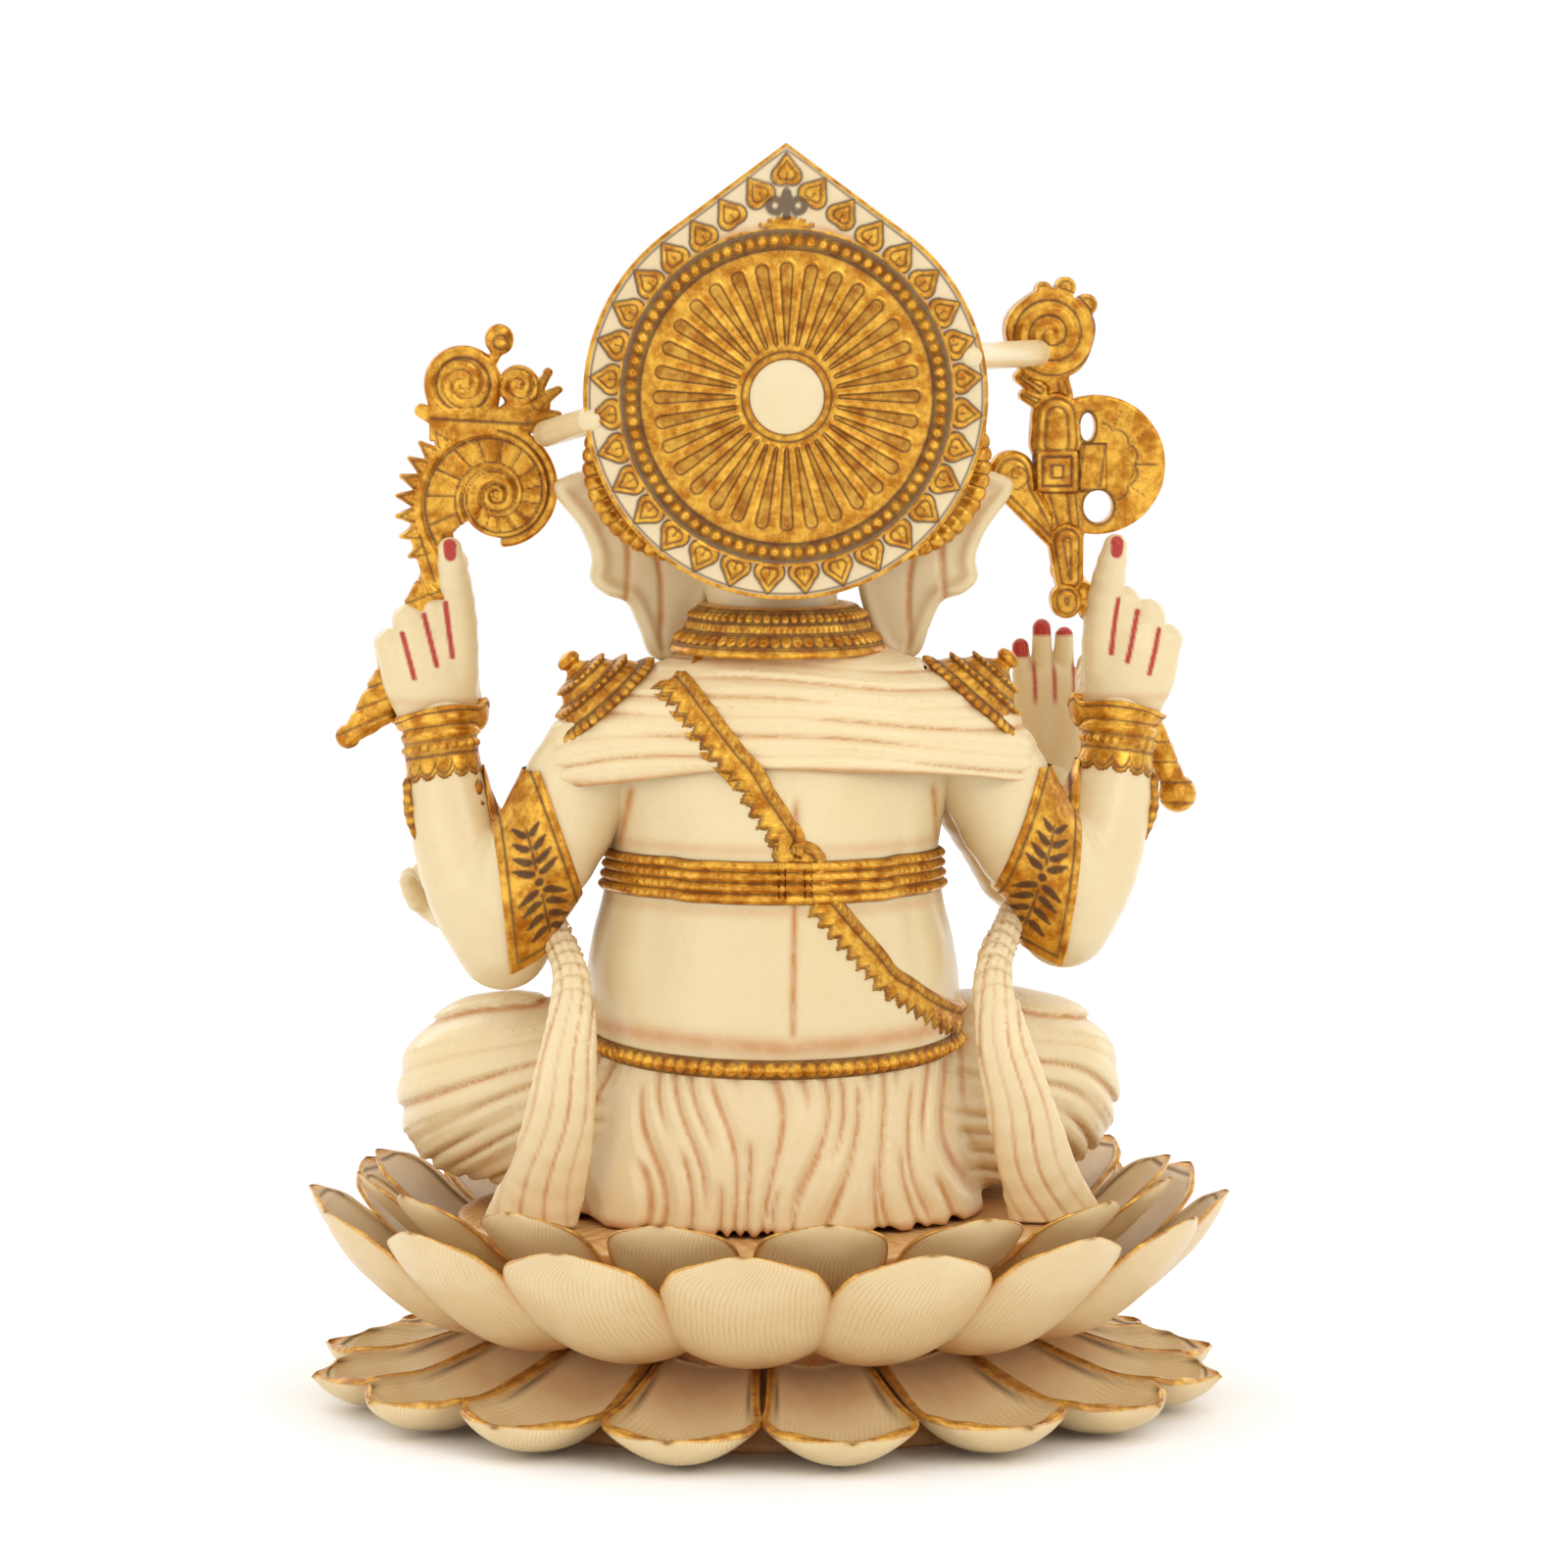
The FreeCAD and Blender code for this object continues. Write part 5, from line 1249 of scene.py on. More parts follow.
def bangle_relief(along, across, total):
    """Ridges above, a bead row, and a scalloped lace hem below."""
    pitch = total / round(total / 3.6)
    near = np.abs((along % pitch) - pitch / 2)
    hem = -8.6 + 2.1 * (1 - np.sqrt(np.clip(1 - (near / (pitch / 2)) ** 2, 0, 1)))
    inside = ramp(across - hem, -0.15, 0.25)
    ridges = np.abs(np.sin((across - 1.0) * 0.95)) * (across > 0.5)
    height = 0.7 + 0.9 * ridges + 0.9 * bump_at(across - 7.9, 0.9)
    pearl, gap = beads(along, across, total, 2.2, 1.0, -0.6)
    height = height + pearl * 0.8 - 0.25 * (across < -2)
    scallop = np.abs(np.hypot(near * 1.1, across - hem - 3.6) - 2.3)
    ink = strongest(0.85 * (across > 0.5) * ramp(-ridges, -0.35, -0.05),
                    0.6 * bump_at(across + 0.6, 1.2) * gap,
                    0.85 * bump_at(scallop, 0.4) * (across < -2.2),
                    0.8 * bump_at(across - hem - 0.3, 0.3))
    return np.where(inside > 0.5, height, -0.4), {"gold": 1 + 0 * along, "line": ink}


def torso_loop(tilt=0.0, level=129.6):
    turn = np.linspace(0, 2 * math.pi, 400, endpoint=False)
    z = level - tilt * np.sin(turn)
    return np.column_stack([48 * np.cos(turn) - 1.5, 48 * np.sin(turn), z])


# over the left shoulder, down the back under the belt to the right hip, and up across the chest
SASH_LINE = [(30, 14, 184), (27.5, 27, 180), (21, 36, 170), (10, 42, 155), (-1, 45, 139), (-8, 47, 127),
             (-19, 47, 116), (-32, 42, 105.5), (-44, 30, 97), (-49, 8, 92), (-44, -24, 95), (-28, -48, 110),
             (-6, -52, 132), (14, -34, 156), (27, -10, 174), (31, 2, 183)]


def sash_path(count=240):
    """The closed line, smoothed across its ends by taking the middle one of three rounds."""
    return spline(SASH_LINE * 3, 3 * count)[count:2 * count]


def drape_solid(p):
    """The shawl's outside as a smooth solid, so that what lies over it has something to lie on."""
    d = oval_column(p + DRAPE_SHIFT, DRAPE) - 0.4 + 6.0 * ramp(-p[:, 2], -158, -147)
    return smax(d, shawl_front(p), 1.0)


def body_and_shawl(p):
    return smin(torso_field(p), drape_solid(p), 3.0)


def lower_and_torso(p):
    return smin(torso_field(p), oval_column(p + HIP_SHIFT, HIPS), 1.0)


def rear_wrist(p, side):
    return smin(rear_arm_field(p, side), raised_hand_field(p, side), 1.0)


def left_wrist(p):
    return smin(front_arm_field(p, LEFT), cupped_hand_field(p), 1.0)


def right_wrist(p):
    return smin(front_arm_field(p, RIGHT), open_hand_field(p), 1.0)


def narrow_bangle_relief(along, across, total):
    return bangle_relief(along, across * 1.9, total)


def make_straps():
    """Belt, waist chain, sash and the four bracelets, each laid on the body under it."""
    add_piece("belt_skin", strap(even(torso_loop(), 0.55), 5.1, torso_field, belt_relief, 33), GILT)
    chain_path = even(torso_loop(3.0, 88.6), 0.42)
    add_piece("waist_chain_skin", strap(chain_path, 2.3, lower_and_torso, chain_relief, 13), GILT)
    add_piece("sacred_sash_skin", strap(even(sash_path(), 0.42), 4.6, body_and_shawl, lace_relief, 25), GILT)
    for side, name in SIDES:
        field = partial(rear_wrist, side=side)
        path = loop((LEAN + side * 82.0, -8, 158.5), (side * 0.13, -0.1, 1), 9, field, 0.36)
        add_piece(f"rear_{name}_bracelet_skin", hem_down(path, 8.8, field, bangle_relief, 45), GILT)
        make_tassel(f"rear_{name}_bracelet_tassel", side)
    path = loop((LEAN + 65.8, -41.5, 114.2), (0.42, -0.9, -0.1), 9, left_wrist, 0.4)
    add_piece("front_left_bracelet_skin", strap(path, 4.4, left_wrist, narrow_bangle_relief, 27), GILT)
    path = loop((LEAN - 67.6, -37.6, 138.6), (-0.15, -0.3, 0.94), 9, right_wrist, 0.4)
    add_piece("front_right_bracelet_skin", hem_down(path, 4.4, right_wrist, narrow_bangle_relief, 27), GILT)


def make_tassel(name, side):
    """The looped cords with leaf drops that hang under a bracelet."""
    def field(p):
        q = own(p, side)
        d = None
        for x0, x1, y in ((90.5, 86.5, -4.5), (73.5, 73, -1.5)):
            z0, z1 = 150, 133 if x0 > 80 else 137
            line = limb(q, [(x0, y, z0), (0.5 * (x0 + x1) + 1.6, y + 2.5, 0.5 * (z0 + z1)), (x1, y + 3, z1)],
                        [0.9, 1.0, 0.8], count=8)
            d = line if d is None else np.minimum(d, line)
            for n in range(4):
                f = n / 3.0
                spot = vec(x0 + (x1 - x0) * f, y + 2.6 * f + 0.8, z0 + (z1 - z0) * f - 1)
                d = smin(d, bar(q, spot, spot + vec(0, 0.3, -2.2), 1.25, 0.5), 0.4)
        return d

    sculpt(name, field, beside(side, 68, 96, (-10, 126), (6, 154)), 0.42, GILT,
           paint=lambda q: paint_of(q, gold=1.0, line=0.3 + 0.3 * np.sin(q[:, 2] * 2.4)))


# --- turned gold pieces -------------------------------------------------------------------------
BOWL = (63, -58, 117.5)


def turned(profile, rows, columns, foot, axis, relief):
    """A lathe form of (radius, height) points stood on foot along axis, with relief(turn, height, radius)."""
    line = spline(profile, rows)
    turn = np.linspace(0, 2 * math.pi, columns, endpoint=False)
    t = np.broadcast_to(turn, (rows, columns))
    radius, height = (np.broadcast_to(values[:, None], (rows, columns)) for values in line.T)
    radius = np.maximum(radius, 0.01)
    extra, ink = relief(t, height, radius)
    radius = np.maximum(radius + extra, 0.01)
    axis = unit(vec(*axis))
    u = unit(np.cross(axis, vec(0, 1, 0.01)))
    w = np.cross(axis, u)
    points = (vec(*foot) + radius[..., None] * (np.cos(t)[..., None] * u + np.sin(t)[..., None] * w)
              + height[..., None] * axis).reshape(-1, 3)
    return points, sheet_faces(rows, columns, wrap_columns=True), paint_of(points, gold=1.0, line=ink.ravel())


def row_of_beads(turn, height, radius, level, size, count):
    """Height and ink of one ring of round beads on a turned form."""
    near = from_nearest(turn, count) * np.maximum(radius, 0.1)
    gap = np.hypot(near, height - level)
    around = np.abs(height - level) < 1.3 * size
    return np.sqrt(np.clip(size ** 2 - gap ** 2, 0, None)), ramp(gap, 0.8 * size, 1.2 * size) * around


def bead_rows(turn, height, radius, rows, ink):
    """Height and ink of several rings of beads, each (level, size, count)."""
    more, dark = zip(*(row_of_beads(turn, height, radius, *row) for row in rows))
    return sum(more), ink * strongest(*dark)


def cone_relief(turn, height, radius):
    extra, ink = bead_rows(turn, height, radius, ((-0.6, 1.05, 36), (4.1, 0.8, 30), (7.9, 0.65, 24)), 0.75)
    petals = np.abs(np.sin(turn * 9)) * bump_at(height - 2.3, 1.2)
    for level in (0.8, 3.2, 5.1, 7.0, 9.2):
        ink = np.maximum(ink, 0.85 * bump_at(height - level, 0.22))
    gaps = 0.6 * ramp(-petals, -0.25, -0.02) * bump_at(height - 2.3, 0.9)
    return extra + 0.35 * petals, np.maximum(ink, gaps)


def collar_relief(turn, height, radius):
    extra, ink = bead_rows(turn, height, radius, ((3.3, 1.15, 56), (8.6, 0.9, 60)), 0.8)
    for level in (1.5, 5.0, 7.1, 10.2):
        ink = np.maximum(ink, 0.9 * bump_at(height - level, 0.32))
    rope = bump_at(height - 6.0, 0.7) * np.sin(turn * 90)
    return extra + 0.2 * rope, np.maximum(ink, 0.5 * np.clip(-rope, 0, 1))


def crown_relief(turn, height, radius):
    """Bead rows and bands of veined, lens-shaped petals."""
    extra, ink = bead_rows(turn, height, radius, ((-11, 1.2, 64), (-3.6, 1.2, 60), (13.2, 1.0, 50),
                                                  (26.5, 0.9, 44), (37.6, 0.8, 34)), 0.8)
    for low, high, count in ((-10, -5, 24), (1, 12, 18), (15, 25, 16), (28, 36, 14), (39, 43, 10)):
        middle, half = 0.5 * (low + high), 0.5 * (high - low)
        near = from_nearest(turn, count) * radius
        lens = np.sqrt(np.clip(1 - ((height - middle) / half) ** 2, 0, 1)) ** 0.8
        gap = np.abs(near) - 0.42 * 2 * math.pi / count * radius * lens
        inside = (height > low) & (height < high)
        extra = extra + inside * (0.9 * ramp(-gap, -0.1, 1.4) - 0.4 * bump_at(near, 0.35))
        vein = 0.6 * bump_at(near, 0.3) * (gap < -0.5)
        ink = strongest(ink, inside * 0.9 * bump_at(gap + 0.1, 0.38), inside * vein)
    return extra, ink


def bowl_relief(turn, height, radius):
    extra, ink = row_of_beads(turn, height, radius, 8.2, 0.8, 44)
    flute = 0.5 + 0.5 * np.cos(turn * 20)
    mid = bump_at(height - 3.6, 2.2) * (radius > 6)
    return extra + 0.35 * flute * mid, np.maximum(0.7 * ink, 0.7 * ramp(-flute, -0.16, -0.02) * mid)


def make_turned_pieces():
    """Shoulder cones, collar, crown and sweets bowl."""
    cone = [(0.01, -2), (13.6, -2), (13.8, 0.4), (12.2, 0.9), (10.4, 3), (10.5, 4.4), (8.5, 4.8), (6.8, 7),
            (6.7, 8.2), (4.4, 8.6), (2.1, 10.5), (2.9, 11.9), (2.3, 13.4), (0.01, 14.2)]
    for side, name in SIDES:
        skin = turned(cone, 90, 240, (LEAN + side * 44.5, 13, 170.8), (side * 0.66, 0.02, 0.75), cone_relief)
        add_piece(name + "_shoulder_cone_skin", skin, GILT)
    collar = [(14, -0.6), (25, -0.6), (25.2, 1.6), (23.6, 3.2), (22.4, 5), (21.6, 7), (20.2, 9), (18.6, 10.6),
              (15, 10.9), (13, 10)]
    rows, columns = 70, 420
    points, faces, paint = turned(collar, rows, columns, (-1.5, 11, 182.6), (0, 0.02, 1), collar_relief)
    last = (rows - 1) * columns
    faces = faces.tolist() + [list(range(last, last + columns)), list(range(columns))[::-1]]
    add_piece("necklace_collar_skin", (points, faces, paint), GILT)
    crown = [(0.01, -14), (26, -14), (28, -11), (28, -4), (26, -1), (24.6, 4), (22.4, 12), (23, 13.5),
             (20.4, 16), (18.2, 25), (18.8, 26.5), (15.8, 29.5), (13.2, 36), (13.5, 37.8), (9.4, 41),
             (5, 44), (5.8, 46.6), (3.6, 50), (0.01, 51.6)]
    points, faces, paint = turned(crown, 210, 420, (0, -1.2, 236), (0, 0.07, 1), crown_relief)
    behind = HALO[1] - 5.0
    points[:, 1] = np.minimum(points[:, 1], behind)
    add_piece("crown_skin", (points, faces, paint), GILT)
    bowl = [(0.01, 0), (6, 0), (7, 1), (10.5, 4), (12.6, 8), (13.2, 9), (12.4, 9.4), (11.4, 8.6), (9, 5.4),
            (0.01, 4.8)]
    add_piece("sweets_bowl_skin", turned(bowl, 80, 260, BOWL, (0, 0.001, 1), bowl_relief), GILT)


# --- head ---------------------------------------------------------------------------------------
TRUNK_LINE = [(0, -22, 210), (0, -31, 200), (1, -39, 186), (3, -47, 170), (8, -54, 154), (18, -60, 140),
              (32, -63, 133), (45, -62, 135), (53, -59, 142)]
TRUNK_RADII = [13.5, 13.5, 11.8, 10.4, 9.4, 8.2, 7.0, 5.8, 4.6]
WRINKLE = 5.6


def along_trunk(p):
    """Distance walked along the trunk's line at the nearest point of it."""
    line = spline(TRUNK_LINE, 60)
    best, out = np.full(len(p), 1e9), np.zeros(len(p))
    for a, b, w in zip(line[:-1], line[1:], walked(line)):
        ab = b - a
        t = np.clip((p - a) @ ab / (ab @ ab), 0, 1)
        gap = np.linalg.norm(p - a - t[:, None] * ab, axis=1)
        out = np.where(gap < best, w + t * np.linalg.norm(ab), out)
        best = np.minimum(best, gap)
    return out


def mirrored(p):
    """Points with both halves of the head folded onto its left half."""
    return p * vec(0, 1, 1) + vec(1, 0, 0) * np.abs(p[:, :1])


def trunk_creases(p):
    """The crease wave along the trunk, and how strongly it shows at each point."""
    walk = along_trunk(p)
    return zigzag(walk / WRINKLE), ramp(walk, 14, 26) * ramp(-p[:, 1], 24, 30)


def head_field(p):
    """Skull, cheeks, brow, eye sockets, tusk roots, lip, trunk and neck in one field."""
    d = ellipsoid(p, (0, -2, 216), (26, 27, 24))
    d = smin(d, ellipsoid(p, (0, -12, 202), (21, 19, 15)), 6)
    d = smin(d, ellipsoid(p, (0, -17, 222), (17, 12, 13)), 5)
    q = mirrored(p)
    d = smin(d, limb(q, [(8, -25, 219.5), (14.5, -27, 219), (20.5, -20, 215)], [2.2, 2.4, 2.0]), 2.0)
    d = smin(d, limb(q, [(9, -27.5, 208.5), (14.5, -28, 206.8), (19.5, -22, 208)], [1.8, 1.9, 1.6]), 2.0)
    d = smax(d, -(np.linalg.norm(q - vec(14.6, -25.6, 213.5), axis=1) - 4.3), 1.4)
    d = smin(d, bar(q, (9.5, -24, 198.5), (13.2, -30.5, 193.5), 5.4, 4.6), 2.5)
    d = smin(d, limb(p, [(0, -20, 190), (0, -27, 186.5), (0, -29, 186)], [8, 6, 4.4]), 3.0)
    crease, strength = trunk_creases(p)
    trunk = limb(p, TRUNK_LINE, TRUNK_RADII, count=34) + 0.55 * (1 - ramp(crease, 0, 0.45)) * strength
    d = smin(d, trunk, 5)
    neck = limb(p, [(-1, 8, 178), (-0.5, 7, 196), (0, 2, 208)], [15.8, 15.4, 15.0])
    return smin(d, neck, 3)


def head_paint(points):
    x, y, z = points.T
    crease, strength = trunk_creases(points)
    wash = 0.75 * (1 - ramp(crease, 0.0, 0.32)) * strength
    brow = bump_at(np.hypot((np.abs(x) - 14.6) / 1.3, z - 213.5) - 4.4, 0.9) * ramp(-y, 14, 20)
    mark = ramp(-np.abs(x), -2.0, -1.5) * ramp(z, 221, 222) * ramp(-z, -232, -231) * ramp(-y, 15, 20)
    return paint_of(points, wash=np.maximum(wash, 0.6 * brow), red=mark)


def ear_shape(p, side):
    """Distance to one ear, distance inside its flat outline, and how far out it lies."""
    q = own(p, side)
    turn = math.radians(9)
    x, y = q[:, 0] - 20, q[:, 1] - 0.5
    u, v = x * math.cos(turn) + y * math.sin(turn), -x * math.sin(turn) + y * math.cos(turn)
    outline = spline([(22, 224), (40, 226), (53, 223), (54.5, 219), (49, 211), (46, 204), (46.5, 198.5),
                      (43, 195), (38, 193), (35, 187), (32.5, 180.5), (27, 179), (22, 184), (18, 196),
                      (17, 212), (22, 224)], 70)
    a, b = outline[:-1] - vec(20, 0), outline[1:] - vec(20, 0)
    best, sign = np.full(len(q), 1e9), np.ones(len(q))
    for (ax, az), (bx, bz) in zip(a, b):
        ex, ez = bx - ax, bz - az
        wx, wz = u - ax, q[:, 2] - az
        t = np.clip((wx * ex + wz * ez) / (ex * ex + ez * ez), 0, 1)
        best = np.minimum(best, np.hypot(wx - t * ex, wz - t * ez))
        c = np.stack([q[:, 2] >= az, q[:, 2] < bz, ex * wz > ez * wx])
        sign = np.where(c.all(0) | (~c).all(0), -sign, sign)
    flat = sign * best
    ripple = 0.8 * np.sin(0.33 * (q[:, 2] - 180) + 0.12 * u) * ramp(u, 8, 20)
    cup = -0.0035 * np.clip(u, 0, 40) ** 2 + ripple
    rolled = 0.9 * bump_at(flat + 1.8, 1.6)
    groove = 0.55 * bump_at(ear_crease(u, q[:, 2]), 0.8)
    return smax(flat, np.abs(v - cup) - 2.0 - rolled + groove, 1.6), flat, u


def ear_crease(u, z):
    first = u - 10 - 0.35 * (z - 190) + 4.0 * np.sin(0.09 * (z - 190))
    second = u - 17 - 0.2 * (z - 188) + 3.0 * np.sin(0.11 * (z - 196))
    return np.where(np.abs(first) < np.abs(second), first, second)


def ear_field(p, side):
    return ear_shape(p, side)[0]


def ear_paint(points, side):
    _, flat, u = ear_shape(points, side)
    z = points[:, 2]
    crease = 0.95 * bump_at(ear_crease(u, z), 0.85) * ramp(z, 184, 190)
    rim = 0.3 * ramp(points[:, 1], 0, 6) * bump_at(flat + 3.6, 1.4)
    return paint_of(points, wash=np.maximum(crease, rim))


def tusks_field(p):
    left = limb(p, [(11.5, -27, 195), (17, -35, 191.8), (22.9, -44.2, 190.6)], [2.9, 2.6, 1.3])
    broken = limb(p, [(-11.5, -27, 195), (-14, -31, 193.4), (-16.7, -34.8, 192.2)], [2.9, 2.8, 2.5])
    return np.minimum(left, broken)


def eyes_field(p):
    q = mirrored(p)
    ball = np.linalg.norm(q - vec(14.6, -24.9, 213.5), axis=1) - 3.6
    lid = np.linalg.norm(q - vec(14.6, -24.7, 213.9), axis=1) - 4.1
    return smin(ball, smax(lid, 214.6 - q[:, 2], 0.3), 0.3)


def eyes_paint(points):
    x, z = points[:, 0], points[:, 2]
    gap = np.hypot(np.abs(x) - 15.4, z - 212.9)
    lid = ramp(z, 214.4, 214.8)
    pupil = ramp(-gap, -1.9, -1.5) * (1 - lid)
    return paint_of(points, line=np.maximum(pupil, 0.8 * bump_at(z - 214.5, 0.35)), wash=0.25 * lid)


def make_head():
    sculpt("head_skin", head_field, ((-28, -70, 122), (60, 28, 242)), 0.75, SKIN, "head", "trunk", "neck",
           paint=head_paint)
    sculpt("tusks_skin", tusks_field, ((-22, -50, 186), (28, -22, 200)), 0.5, IVORY,
           paint=lambda q: paint_of(q, wash=0.3 * ramp(q[:, 1], -32, -28)))
    sculpt("eyes_skin", eyes_field, ((-20, -30, 208), (20, -19, 219)), 0.4, EYE, paint=eyes_paint)
    for side, name in SIDES:
        box = beside(side, 14, 54, (-14, 176), (14, 232))
        sculpt(name + "_ear_skin", partial(ear_field, side=side), box, 0.6, SKIN,
               paint=partial(ear_paint, side=side))


def ring_mesh(centre, radius, thick, rows, columns, beads_round):
    """A beaded gold ring in an upright plane."""
    turn = np.linspace(0, 2 * math.pi, rows, endpoint=False)
    tube = np.linspace(0, 2 * math.pi, columns, endpoint=False)
    t, s = np.meshgrid(turn, tube, indexing="ij")
    near = zigzag(t * beads_round / (2 * math.pi))
    r = thick * (0.72 + 0.34 * np.sqrt(np.clip(1 - near ** 2, 0, 1)))
    out = radius + r * np.cos(s)
    points = (vec(*centre) + np.stack([out * np.cos(t), r * np.sin(s), out * np.sin(t)], -1)).reshape(-1, 3)
    ink = 0.85 * ramp(near, 0.86, 1).ravel()
    return points, sheet_faces(rows, columns, True, True), paint_of(points, gold=1.0, line=ink)


def make_ear_bands_and_necklace():
    rings = [ring_mesh((LEAN + side * 25, 9.5, 227), 21.5, 2.4, 480, 14, 44) for side in (LEFT, RIGHT)]
    add_piece("ear_bands_skin", merge(rings), GILT)
    turn = np.linspace(-2.0, 2.0, 200)
    path = np.column_stack([22 * np.sin(turn) - 1.5, -24 - 8 * np.cos(turn), 168 - 19 * np.cos(turn)])
    path, _ = settle(path, torso_field)
    chain = strap(even(path, 0.4, False), 2.6, torso_field, chain_relief, 13, closed=False)
    add_piece("chest_necklace_skin", chain, GILT)


# --- emblems ------------------------------------------------------------------------------------
NOOSE = (65.0, 218.7)
COIL_R, COIL_RATE, COIL_START = 19.4, 0.1375, -0.7


def disc(u, w, cu, cw, radius):
    return np.hypot(u - cu, w - cw) - radius


def stroke(u, w, a, b, ra, rb):
    """Distance to a tapered round-ended line in the flat."""
    flat = np.stack([u, 0 * u, w], -1)
    return bar(flat, (a[0], 0, a[1]), (b[0], 0, b[1]), ra, rb)


def noose_shapes(p):
    """Distance and ink of the ram's-horn coil with its buds, arched crest, plume and hanging tail."""
    u, w = p[:, 0] - NOOSE[0], p[:, 2] - NOOSE[1]
    r = np.maximum(np.hypot(u, w), 0.05)
    angle = (np.arctan2(w, u) - COIL_START) % (2 * math.pi) + COIL_START
    rim = COIL_R * np.exp(-COIL_RATE * angle)
    turns = (np.log(COIL_R / r) / COIL_RATE - angle) / (2 * math.pi)
    band, share = np.floor(turns), turns % 1
    flute = np.abs(np.sin(angle * 7.5))
    first = (band < 1) & (share > 0.16) & (share < 0.78)
    height = 0.9 * bump_at(share - 0.07, 0.06) + 0.5 * bump_at(share - 0.9, 0.08) + first * 0.45 * flute
    height = np.where(band > 0, 0.9 * np.sin(share * math.pi), height)
    ink = np.maximum(0.95 * bump_at(share - 0.165, 0.028), first * 0.85 * ramp(-flute, -0.26, -0.04))
    seam = (band > 0) * ramp(np.abs(share - 0.5), 0.4, 0.46)
    ink = strongest(ink, 0.9 * bump_at(share - 0.8, 0.03), 0.9 * seam)
    ink = np.where((r < rim) & (r > 1.0), ink, 0)
    hoop = np.where((angle > 1.7) & (angle < 4.6), np.abs(r - rim - 1.0) - 1.2, 9.0)
    d = smin(r - rim, hoop, 0.4)
    ink = np.maximum(ink, 0.85 * bump_at(r - rim + 0.1, 0.35) * (angle > 1.6) * (angle < 4.7))
    for n in range(8):
        turn = math.radians(-37 + 11.7 * n)
        root = COIL_R * math.exp(-COIL_RATE * turn) + 0.4
        tip = root + 3.6
        a = (root * math.cos(turn), root * math.sin(turn))
        b = (tip * math.cos(turn + 0.03), tip * math.sin(turn + 0.03))
        bud = stroke(u, w, a, b, 2.0, 0.55)
        d = smin(d, bud, 0.3)
        ink = np.maximum(ink, 0.75 * bump_at(bud + 0.7, 0.25) * (r > rim))
        height = height + 0.5 * ramp(-bud, 0.2, 1.4)
    stem = stroke(u, w, (15.5, -9), (13, -21), 5.2, 4.0)
    d = smin(d, stem, 0.6)
    ink = np.maximum(ink, 0.8 * bump_at(stem + 2.4, 0.3) * (w < -9) * (r > 10))
    # crest
    arch_r = np.hypot(u - 7.8, w - 26.6)
    crest = smin(arch_r - 9.2, np.maximum(np.abs(u - 7.6) - 8.2, np.abs(w - 19) - 6), 1.5)
    d = smin(d, crest, 0.5)
    inside = ramp(-arch_r, -6.6, -6.1)
    curl = swirl(u - 7.8, w - 26.6, 2.3, 2)
    on_crest = (w > 17.5) & (crest < 0.5)
    marks = np.maximum(0.95 * bump_at(arch_r - 6.4, 0.4) * (w > 21), 0.75 * inside * ramp(curl, 0.7, 0.95))
    ink = np.where(on_crest, marks, ink)
    height = np.where(on_crest, (1 - inside) * bump_at(arch_r - 7.9, 1.4) + 0.6 * inside * (1 - curl), height)
    ink = np.maximum(ink, 0.85 * bump_at(w - 17.6 - 0.06 * (u - 2), 0.4) * (np.abs(u - 4) < 12))
    # plume
    scroll_r = np.hypot(u + 5.6, w - 26.2)
    plume = smin(scroll_r - 4.9, stroke(u, w, (-3, 18), (-9, 22), 3.6, 4.2), 1.0)
    for a, b, ra in (((-9, 24), (-12.4, 28.6), 1.9), ((-10, 22), (-15.2, 25.2), 1.9),
                     ((-9, 19), (-15, 19.2), 2.0), ((-6, 17), (-12.5, 15.2), 1.7)):
        hook = stroke(u, w, a, b, ra, 0.9)
        plume = smin(plume, hook, 0.25)
        ink = np.maximum(ink, 0.7 * bump_at(hook + 0.55, 0.25) * (u < -7))
    plume = smin(plume, disc(u, w, -12.6, 29.3, 1.1), 0.3)
    d = smin(d, plume, 0.4)
    ring = swirl(u + 5.6, w - 26.2, 2.3)
    ink = np.maximum(ink, 0.8 * ramp(ring, 0.74, 0.95) * (scroll_r < 4.7) * (scroll_r > 0.6))
    height = height + 0.6 * (1 - ring) * (scroll_r < 4.7)
    # buds
    stalk = stroke(u, w, (1.2, 31.6), (-0.4, 34), 1.4, 1.2)
    ball = np.hypot((u + 1.0) / 0.92, w - 37.2) - 3.7
    side_bud = stroke(u, w, (14.5, 18.5), (17.6, 20.2), 1.9, 1.7)
    d = smin(smin(smin(d, stalk, 0.5), ball, 0.4), side_bud, 0.4)
    ink = np.maximum(ink, 0.8 * bump_at(np.hypot(u + 1.2, w - 36.6) - 1.7, 0.35))
    height = height + 0.9 * ramp(-ball, 0, 3)
    solid = smax(d, np.abs(p[:, 1] + 4.5) - 2.9 - height, 0.9)
    q = p - vec(LEAN, 0, 0)
    tail = limb(q, [(80, -5, 202), (87, -8, 192), (91, -11, 180), (95, -13.5, 170), (103, -15, 161)],
                [4.4, 3.9, 4.2, 5.4, 2.6], squash=((0, 1, 0), 0.8), count=12)
    ring = zigzag(p[:, 2] / 4.2 + 0.1 * p[:, 0])
    below = ramp(-p[:, 2], -198, -194)
    tail = tail + 0.5 * (1 - ramp(ring, 0, 0.4)) * below
    ink = np.where(p[:, 2] < 198, 0.75 * (1 - ramp(ring, 0, 0.25)), ink)
    ball = np.linalg.norm(q - vec(104.4, -15.5, 160), axis=1) - 3.0
    return smin(smin(solid, tail, 1.0), ball, 0.4), ink


AXE = (-70.0, 224.0)
BLADE = (9.9, 1.5, 16.8)


